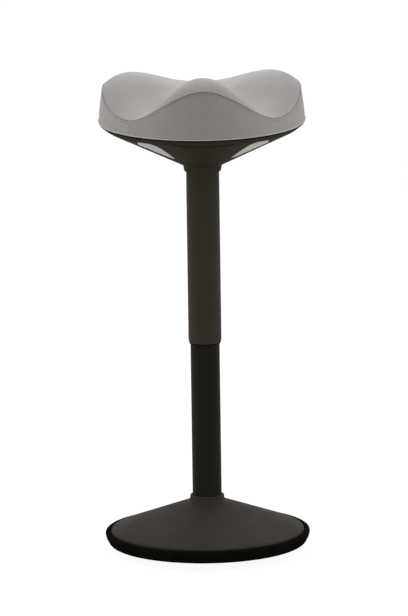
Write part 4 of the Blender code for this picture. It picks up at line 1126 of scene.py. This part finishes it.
def shade_rim(material, start, end, tone):
    """Darken a finish smoothly between two radii of its flat cut, to a tone at the outer one."""
    tree = material.node_tree
    away = tree.nodes.new("ShaderNodeVectorMath")
    away.operation = "LENGTH"
    tree.links.new(flat_place(tree), away.inputs[0])
    span = {"From Min": start, "From Max": end, "To Min": 1.0, "To Max": tone}
    ease = add_node(tree, "ShaderNodeMapRange", span)
    ease.interpolation_type = "SMOOTHSTEP"
    tree.links.new(away.outputs["Value"], ease.inputs["Value"])
    scale_colour(tree, tree.nodes["Principled BSDF"], ease.outputs["Result"])


# Painted shade: the top cloth is made darker towards its seam.
shade_rim(top_cloth, SEAM_RADIUS - RIM_WIDTH, SEAM_RADIUS, RIM_SHADE_TONE)
print("rim of", top_cloth.name, "toned to", RIM_SHADE_TONE)

# %% [markdown]
# ## Letting the cloth swell
# Foam pushes the cloth out between the seam and the hem, where thread holds it down. Painting that bulge by
# hand looks even and dull, so a coarse copy of the cover, a little too small, is blown up by Blender's
# cloth simulation for 20 frames: the seam and the hem are pinned, gravity is off and the pressure is low.
# Only the outward movement is kept, capped at a few millimetres, and the fine cover reads it from a grid.

# %% Coarse cover
SIM_TURNS = 96
SIM_TOP = 20
SIM_SIDE = 8
SIM_START = 0.12
START_INSET = 0.0014


def sim_rows():
    """Coarse cover: for each angle, points from near the middle over the seam to the hem."""
    rows = []
    for step in range(SIM_TURNS):
        angle = 360.0 * step / SIM_TURNS
        row = []
        for share in np.linspace(SIM_START, 1.0, SIM_TOP):
            row.append(polar(angle, share * SEAM_RADIUS, top_height(angle, share)))
        for share in np.linspace(0.0, 1.0, SIM_SIDE + 1)[1:]:
            row.append(polar(angle, *side_spot(angle, share)))
        rows.append(row)
    return rows


def sim_cover():
    """Closed coarse cover, drawn in along its normals, with the seam and the hem in a group to pin."""
    rows = sim_rows()
    width = len(rows[0])
    vertices = [spot for row in rows for spot in row]
    vertices.append(Vector((0.0, 0.0, top_height(0.0, 0.0))))
    vertices.append(Vector((0.0, 0.0, SEAT_EDGE)))
    faces = []
    for step in range(SIM_TURNS):
        here = step * width
        there = (step + 1) % SIM_TURNS * width
        for spot in range(width - 1):
            faces.append((here + spot, there + spot, there + spot + 1, here + spot + 1))
        faces.append((there, here, len(vertices) - 2))
        faces.append((here + width - 1, there + width - 1, len(vertices) - 1))
    mesh = bpy.data.meshes.new("sim_cover")
    mesh.from_pydata(vertices, [], faces)
    work = bmesh.new()
    work.from_mesh(mesh)
    bmesh.ops.recalc_face_normals(work, faces=work.faces)
    work.to_mesh(mesh)
    work.free()
    normals = [vertex.normal.copy() for vertex in mesh.vertices]
    for vertex, normal in zip(mesh.vertices, normals):
        vertex.co -= normal * START_INSET
    obj = place_new("sim_cover", mesh)
    pins = [len(vertices) - 1]
    for step in range(SIM_TURNS):
        pins += [step * width + SIM_TOP - 1, step * width + width - 1]
    obj.vertex_groups.new(name="held").add(pins, 1.0, "REPLACE")
    return obj, normals, width


# %% Cloth simulation
SIM_FRAMES = 20
SWELL_CAP = 0.0030
SMOOTHING = 2


def swollen():
    """Outward movement of the coarse cover under pressure, one row for each angle."""
    obj, normals, width = sim_cover()
    before = np.array([vertex.co[:] for vertex in obj.data.vertices])
    cloth = obj.modifiers.new("cloth", "CLOTH")
    cloth.settings.quality = 6
    cloth.settings.mass = 0.15
    cloth.settings.tension_stiffness = 20.0
    cloth.settings.compression_stiffness = 20.0
    cloth.settings.bending_stiffness = 2.0
    cloth.settings.use_pressure = True
    cloth.settings.uniform_pressure_force = 4.0
    cloth.settings.effector_weights.gravity = 0.0
    cloth.settings.vertex_group_mass = "held"
    cloth.point_cache.frame_start = 1
    cloth.point_cache.frame_end = SIM_FRAMES
    for number in range(1, SIM_FRAMES + 1):
        bpy.context.scene.frame_set(number)
    graph = bpy.context.evaluated_depsgraph_get()
    result = obj.evaluated_get(graph).to_mesh()
    after = np.array([vertex.co[:] for vertex in result.vertices])
    moved = np.einsum("ij,ij->i", after - before, np.array([normal[:] for normal in normals]))
    bpy.context.scene.frame_set(1)
    bpy.data.objects.remove(obj, do_unlink=True)
    print("largest swell in mm:", round(1000.0 * float(moved.max()), 2))
    return np.clip(moved, 0.0, SWELL_CAP)[:SIM_TURNS * width].reshape(SIM_TURNS, width)


swell_grid = swollen()
for _ in range(SMOOTHING):
    swell_grid = (swell_grid + np.roll(swell_grid, 1, 0) + np.roll(swell_grid, -1, 0)) / 3.0
print("swell in mm, mean and top:", round(1000.0 * swell_grid.mean(), 2), round(1000.0 * swell_grid.max(), 2))


# %% Read the swell anywhere
PUCKER = 0.00010
PUCKER_REACH = 0.007
PUCKER_LAG = 20.0


def swell_at(angle, place):
    """Swell at an angle and at a place along the section, counted in rows of the coarse cover."""
    turn = angle / 360.0 * SIM_TURNS
    place = min(max(place, 0.0), SIM_TOP + SIM_SIDE - 1.001)
    first = int(math.floor(turn))
    row = int(place)
    right = turn - first
    up = place - row
    near = swell_grid[first % SIM_TURNS]
    far = swell_grid[(first + 1) % SIM_TURNS]
    low = near[row] * (1.0 - right) + far[row] * right
    high = near[row + 1] * (1.0 - right) + far[row + 1] * right
    return low * (1.0 - up) + high * up - START_INSET


def pucker(angle, distance):
    """Small gathers in the cloth beside the seam, dying out within a centimetre."""
    gathers = math.sin(angle * 1.31 + 0.4) + math.sin(angle * 2.17 + 1.9) + 0.7 * math.sin(angle * 3.9 + 0.8)
    return PUCKER * gathers * math.exp(-abs(distance) / PUCKER_REACH)


def band_swell(angle, share):
    """How far the side band stands out, between the seam at 0 and the hem at 1."""
    gathers = pucker(angle + PUCKER_LAG, share * around(angle, SEAM))
    return swell_at(angle, SIM_TOP - 1 + share * SIM_SIDE) + gathers


print("swell at the wing's middle in mm:", round(1000.0 * swell_at(WING, 12.0), 2))

# %% [markdown]
# ## Cushion and side band
# The cushion is one closed body: the top panel, rolled over into the seam, the foam wall under the band
# and the flat foot that rests on the board. The band is a strip of cloth with its own thickness, whose
# upper edge is rolled into the same seam and whose lower edge is turned in over the hem. Between the two
# rolls lies a narrow ditch, which reads as the dark line in the picture. The strip is closed by one upright
# join in the left valley, where it is narrowest.

# %% Section of the cushion
ROLL_RADIUS = 0.0013
ROLL_END = math.radians(-100.0)
SLOPE_STEP = 0.004
MIDDLE_SHARE = 0.05
FOAM_INSET = CLOTH + 0.0012
FOAM_BOTTOM = SEAT_EDGE + CLOTH + 0.0004
WALL_SHARES = (0.15, 0.4, 0.7, 0.97)
WALL_DROP = 0.002
TURNS = 240
TOP_SHARES = [*np.linspace(0.0, 0.90, 44), *np.linspace(0.912, 0.9925, 12)]


def roll(start, heading, end, radius, steps=6):
    """Arc in the section plane that turns from one heading to another, in radians."""
    spots = []
    spot = Vector(start)
    for step in range(steps):
        turn = heading + (end - heading) * (step + 0.5) / steps
        length = abs(end - heading) / steps * radius
        spot = spot + Vector((math.cos(turn), math.sin(turn))) * length
        spots.append(tuple(spot))
    return spots


def top_spot(angle, share):
    """(radius, height) on the top panel, pushed out along its slope by the swell and the gathers."""
    radius = share * SEAM_RADIUS
    z = top_height(angle, share)
    place = (share - SIM_START) / (1.0 - SIM_START) * (SIM_TOP - 1)
    out = swell_at(angle, place) if share > MIDDLE_SHARE else swell_at(0.0, 0.0)
    out += pucker(angle, (1.0 - share) * SEAM_RADIUS) * min(1.0, share * 2.0)
    slope = 0.0
    if share > 0.0:
        slope = math.atan2(top_height(angle, share + SLOPE_STEP) - z, SLOPE_STEP * SEAM_RADIUS)
    return max(0.0, radius - math.sin(slope) * out), z + math.cos(slope) * out


def cushion_section(angle):
    """Half section from the middle of the top, over the roll and down the wall, to the foot."""
    top = [top_spot(angle, share) for share in TOP_SHARES]
    heading = math.atan2(top[-1][1] - top[-2][1], top[-1][0] - top[-2][0])
    top += roll(top[-1], heading, ROLL_END, ROLL_RADIUS)
    side = []
    for share in WALL_SHARES:
        radius, z = side_spot(angle, share)
        side.append((radius - FOAM_INSET, min(z, top[-1][1] - WALL_DROP)))
    edge = BOARD_HIGH[0] + FIT
    rest = BOARD_HIGH[2] + FIT
    foot = [(SEAT_RADIUS - FOAM_INSET, FOAM_BOTTOM), (edge, FOAM_BOTTOM), (edge, rest), (0.0, rest)]
    return top + side + foot


section = cushion_section(0.0)
print("points in one section:", len(section), "pommel top:", round(max(z for radius, z in section), 4))

# %% Section of the band
BAND_SHARES = [*np.linspace(0.035, 0.20, 9), *np.linspace(0.25, 1.0, 16)]
BAND_FADE = 0.06
BAND_ROLL = math.radians(125.0)
TURN_IN = 0.011


def join_dip(distance):
    """Ditch of the band's upright join and the soft ridge on either side of it."""
    ditch = 0.0005 * math.exp(-(distance / 0.0011) ** 2)
    return ditch - 0.0002 * math.exp(-((abs(distance) - 0.0034) / 0.0016) ** 2)


def band_section(angle, join):
    """Closed section of the side band; join is the distance in metres from its upright seam."""
    outer = []
    for share in BAND_SHARES:
        radius, z = side_spot(angle, share)
        fade = min(1.0, (1.0 - share) / BAND_FADE)
        outer.append((radius + band_swell(angle, share) * fade - join_dip(join), z))
    heading = math.atan2(outer[0][1] - outer[1][1], outer[0][0] - outer[1][0])
    lead = roll(outer[0], heading, heading + BAND_ROLL, ROLL_RADIUS)
    inner = [(radius - CLOTH, z) for radius, z in outer[:-1]]
    turn = SEAT_RADIUS - TURN_IN
    fold = [(turn, SEAT_EDGE), (turn, SEAT_EDGE + CLOTH), (SEAT_RADIUS - CLOTH, SEAT_EDGE + CLOTH)]
    return lead[::-1] + outer + fold + inner[::-1]


print("points in one band section:", len(band_section(0.0, 0.2)))

# %% Join sections into meshes
CLOTH_SHARP = 75.0


def loft(name, angles, sections, closed, material, flat):
    """Closed skin from one section for each angle; flat gives the cloth's own coordinates."""
    work = bmesh.new()
    layer = work.loops.layers.uv.new(FLAT_MAP)
    poles = {}
    columns = []
    for angle, section in zip(angles, sections):
        column = []
        for spot, (radius, z) in enumerate(section):
            if radius < TINY:
                if spot not in poles:
                    poles[spot] = work.verts.new((0.0, 0.0, z))
                column.append(poles[spot])
                continue
            column.append(work.verts.new(polar(angle, radius, z)))
        columns.append(column)
    count = len(sections[0])
    for index, here in enumerate(columns):
        after = (index + 1) % len(columns)
        there = columns[after]
        turn = angles[after] if after else angles[0] + 360.0
        for spot in range(count if closed else count - 1):
            beyond = (spot + 1) % count
            corners = [(here[spot], index, angles[index], spot), (there[spot], after, turn, spot),
                       (there[beyond], after, turn, beyond), (here[beyond], index, angles[index], beyond)]
            unique = list({corner[0]: corner for corner in corners}.values())
            if len(unique) < 3:
                continue
            face = work.faces.new([corner[0] for corner in unique])
            for loop, corner in zip(face.loops, unique):
                loop[layer].uv = flat(corner[2], sections[corner[1]][corner[3]], corner[3])
    return close_up(name, work, material, CLOTH_SHARP)


# %% Cushion
even_angles = [360.0 * step / TURNS for step in range(TURNS)]


def top_flat(angle, spot, index):
    """Place in the top panel's flat cut."""
    return tuple(polar(angle, spot[0], 0.0)[:2])


sections = [cushion_section(angle) for angle in even_angles]
cushion = loft("seat_cushion", even_angles, sections, False, top_cloth, top_flat)
dress(cushion, "seat", "seat_foam", "seat_cover_top")

# %% Side band
BAND_JOIN = -46.0
JOIN_CLEAR = 1.4
JOIN_STEPS = (0.0, 0.0005, 0.0011, 0.0018, 0.0027, 0.0038)
fine = [round(math.degrees(step / SEAT_RADIUS), 5) for step in JOIN_STEPS]
coarse = [angle for angle in even_angles if JOIN_CLEAR < angle < 360.0 - JOIN_CLEAR]
offsets = fine + coarse + [360.0 - angle for angle in fine[:0:-1]]
angles = [BAND_JOIN + offset for offset in offsets]
sections = []
for angle, offset in zip(angles, offsets):
    from_join = math.radians(min(offset, 360.0 - offset)) * SEAT_RADIUS
    sections.append(band_section(angle, from_join))


def band_flat(angle, spot, index):
    """Place along the strip from its join, and height above the hem."""
    return (math.radians(angle - BAND_JOIN) * SEAT_RADIUS, spot[1] - SEAT_EDGE)


band = loft("seat_side_band", angles, sections, True, band_cloth, band_flat)
dress(band, "seat", "seat_cover_side")

# %% [markdown]
# ## Hem
# A thin, lighter edge runs along the bottom of the band, where the cloth is turned over and held under the
# board. It is a ring with a slight waver, not a perfect circle.

# %% Hem
HEM = 0.0014
HEM_SIDES = 10
HEM_STEP = 0.0007
centre = SEAT_RADIUS - HEM
level = SEAT_EDGE - FIT - HEM


def hem_section(angle):
    """Round section of the hem, moved in and out by a slow and a quick waver."""
    waver = 0.00012 * math.sin(math.radians(angle * 9.0))
    waver += 0.00008 * math.sin(math.radians(angle * 23.0 + 40.0))
    turns = [2.0 * math.pi * step / HEM_SIDES for step in range(HEM_SIDES)]
    return [(centre + waver + HEM * math.cos(turn), level + HEM * math.sin(turn)) for turn in turns]


def hem_flat(angle, spot, index):
    """Place along the hem, and steps round it."""
    return (math.radians(angle) * SEAT_RADIUS, index * HEM_STEP)


sections = [hem_section(angle) for angle in even_angles]
hem = loft("seat_hem_edge", even_angles, sections, True, hem_cloth, hem_flat)
dress(hem, "seat", "seat_hem")

# %% [markdown]
# ## Stitches
# A dark thread pulls the seam into its ditch, and a second row in cloth-coloured thread runs a few
# millimetres below it, which shows on the outer wings. Both follow a path, so both come from one Geometry
# Nodes tree: it resamples the path at the stitch pitch and sets a small bead on each point, drawn out and
# turned along the path.

# %% Thread finish
def thread(name, colour):
    """Sewing thread with a fine twist."""
    material, tree, shader, place = start_finish(name, 0.75, gloss=0.25)
    twist = cloud(tree, place, 2600.0, 2.0)
    colour_by(tree, shader, twist, tint(colour, 0.75), colour)
    relief(tree, shader, twist, 0.0001)
    return material


dark_thread = thread("dark_thread", (0.085, 0.080, 0.076))
cloth_thread = thread("cloth_thread", (0.230, 0.215, 0.208))
print("threads:", dark_thread.name, cloth_thread.name)


# %% Stitch tree
def stitch_tree(name, sizes, material):
    """Tree that turns a path into a row of beads."""
    tree, start, copies = copy_tree(name, sizes, material)
    steps = tree.nodes.new("GeometryNodeResampleCurve")
    steps.mode = "LENGTH"
    tree.links.new(start.outputs["Geometry"], steps.inputs["Curve"])
    tree.links.new(start.outputs["Pitch"], steps.inputs["Length"])
    bead = add_node(tree, "GeometryNodeMeshUVSphere", {"Segments": 8, "Rings": 6, "Radius": 0.5})
    scale = tree.nodes.new("ShaderNodeCombineXYZ")
    for axis, label in (("X", "Length"), ("Y", "Thickness"), ("Z", "Thickness")):
        tree.links.new(start.outputs[label], scale.inputs[axis])
    turn = tree.nodes.new("FunctionNodeAlignRotationToVector")
    turn.axis = "X"
    along = tree.nodes.new("GeometryNodeInputTangent")
    tree.links.new(along.outputs["Tangent"], turn.inputs["Vector"])
    for output, socket in ((steps.outputs["Curve"], "Points"), (bead.outputs["Mesh"], "Instance"),
                           (turn.outputs["Rotation"], "Rotation"), (scale.outputs["Vector"], "Scale")):
        tree.links.new(output, copies.inputs[socket])
    return tree


def stitch_row(name, points, sizes, material):
    """Row of stitches along a closed path."""
    path = bpy.data.curves.new(name, "CURVE")
    path.dimensions = "3D"
    run = path.splines.new("POLY")
    run.points.add(len(points) - 1)
    for spot, point in zip(run.points, points):
        spot.co = (*point, 1.0)
    run.use_cyclic_u = True
    return run_tree(place_new(name, path), stitch_tree(name + "_tree", sizes, material), sizes, material)


# %% Stitch rows
DITCH_SHARE = 0.012
DITCH_INSET = 0.0014
DITCH_LIFT = 0.0002
ROW_DROP = 0.0052
DITCH_SIZES = {"Pitch": 0.0062, "Length": 0.0052, "Thickness": 0.0011}
ROW_SIZES = {"Pitch": 0.0044, "Length": 0.0032, "Thickness": 0.0008}
ditch_path = []
row_path = []
for step in range(TURNS * 2):
    angle = 180.0 * step / TURNS
    radius, z = side_spot(angle, DITCH_SHARE)
    ditch_path.append(polar(angle, radius - DITCH_INSET, z + DITCH_LIFT))
    share = min(0.4, ROW_DROP / around(angle, SEAM))
    radius, z = side_spot(angle, share)
    row_path.append(polar(angle, radius + band_swell(angle, share), z))
ditch_row = stitch_row("seam_stitches", ditch_path, DITCH_SIZES, dark_thread)
top_row = stitch_row("band_stitches", row_path, ROW_SIZES, cloth_thread)
for row in (ditch_row, top_row):
    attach(row, "seat")
    print(row.name, "faces", len(row.data.polygons))
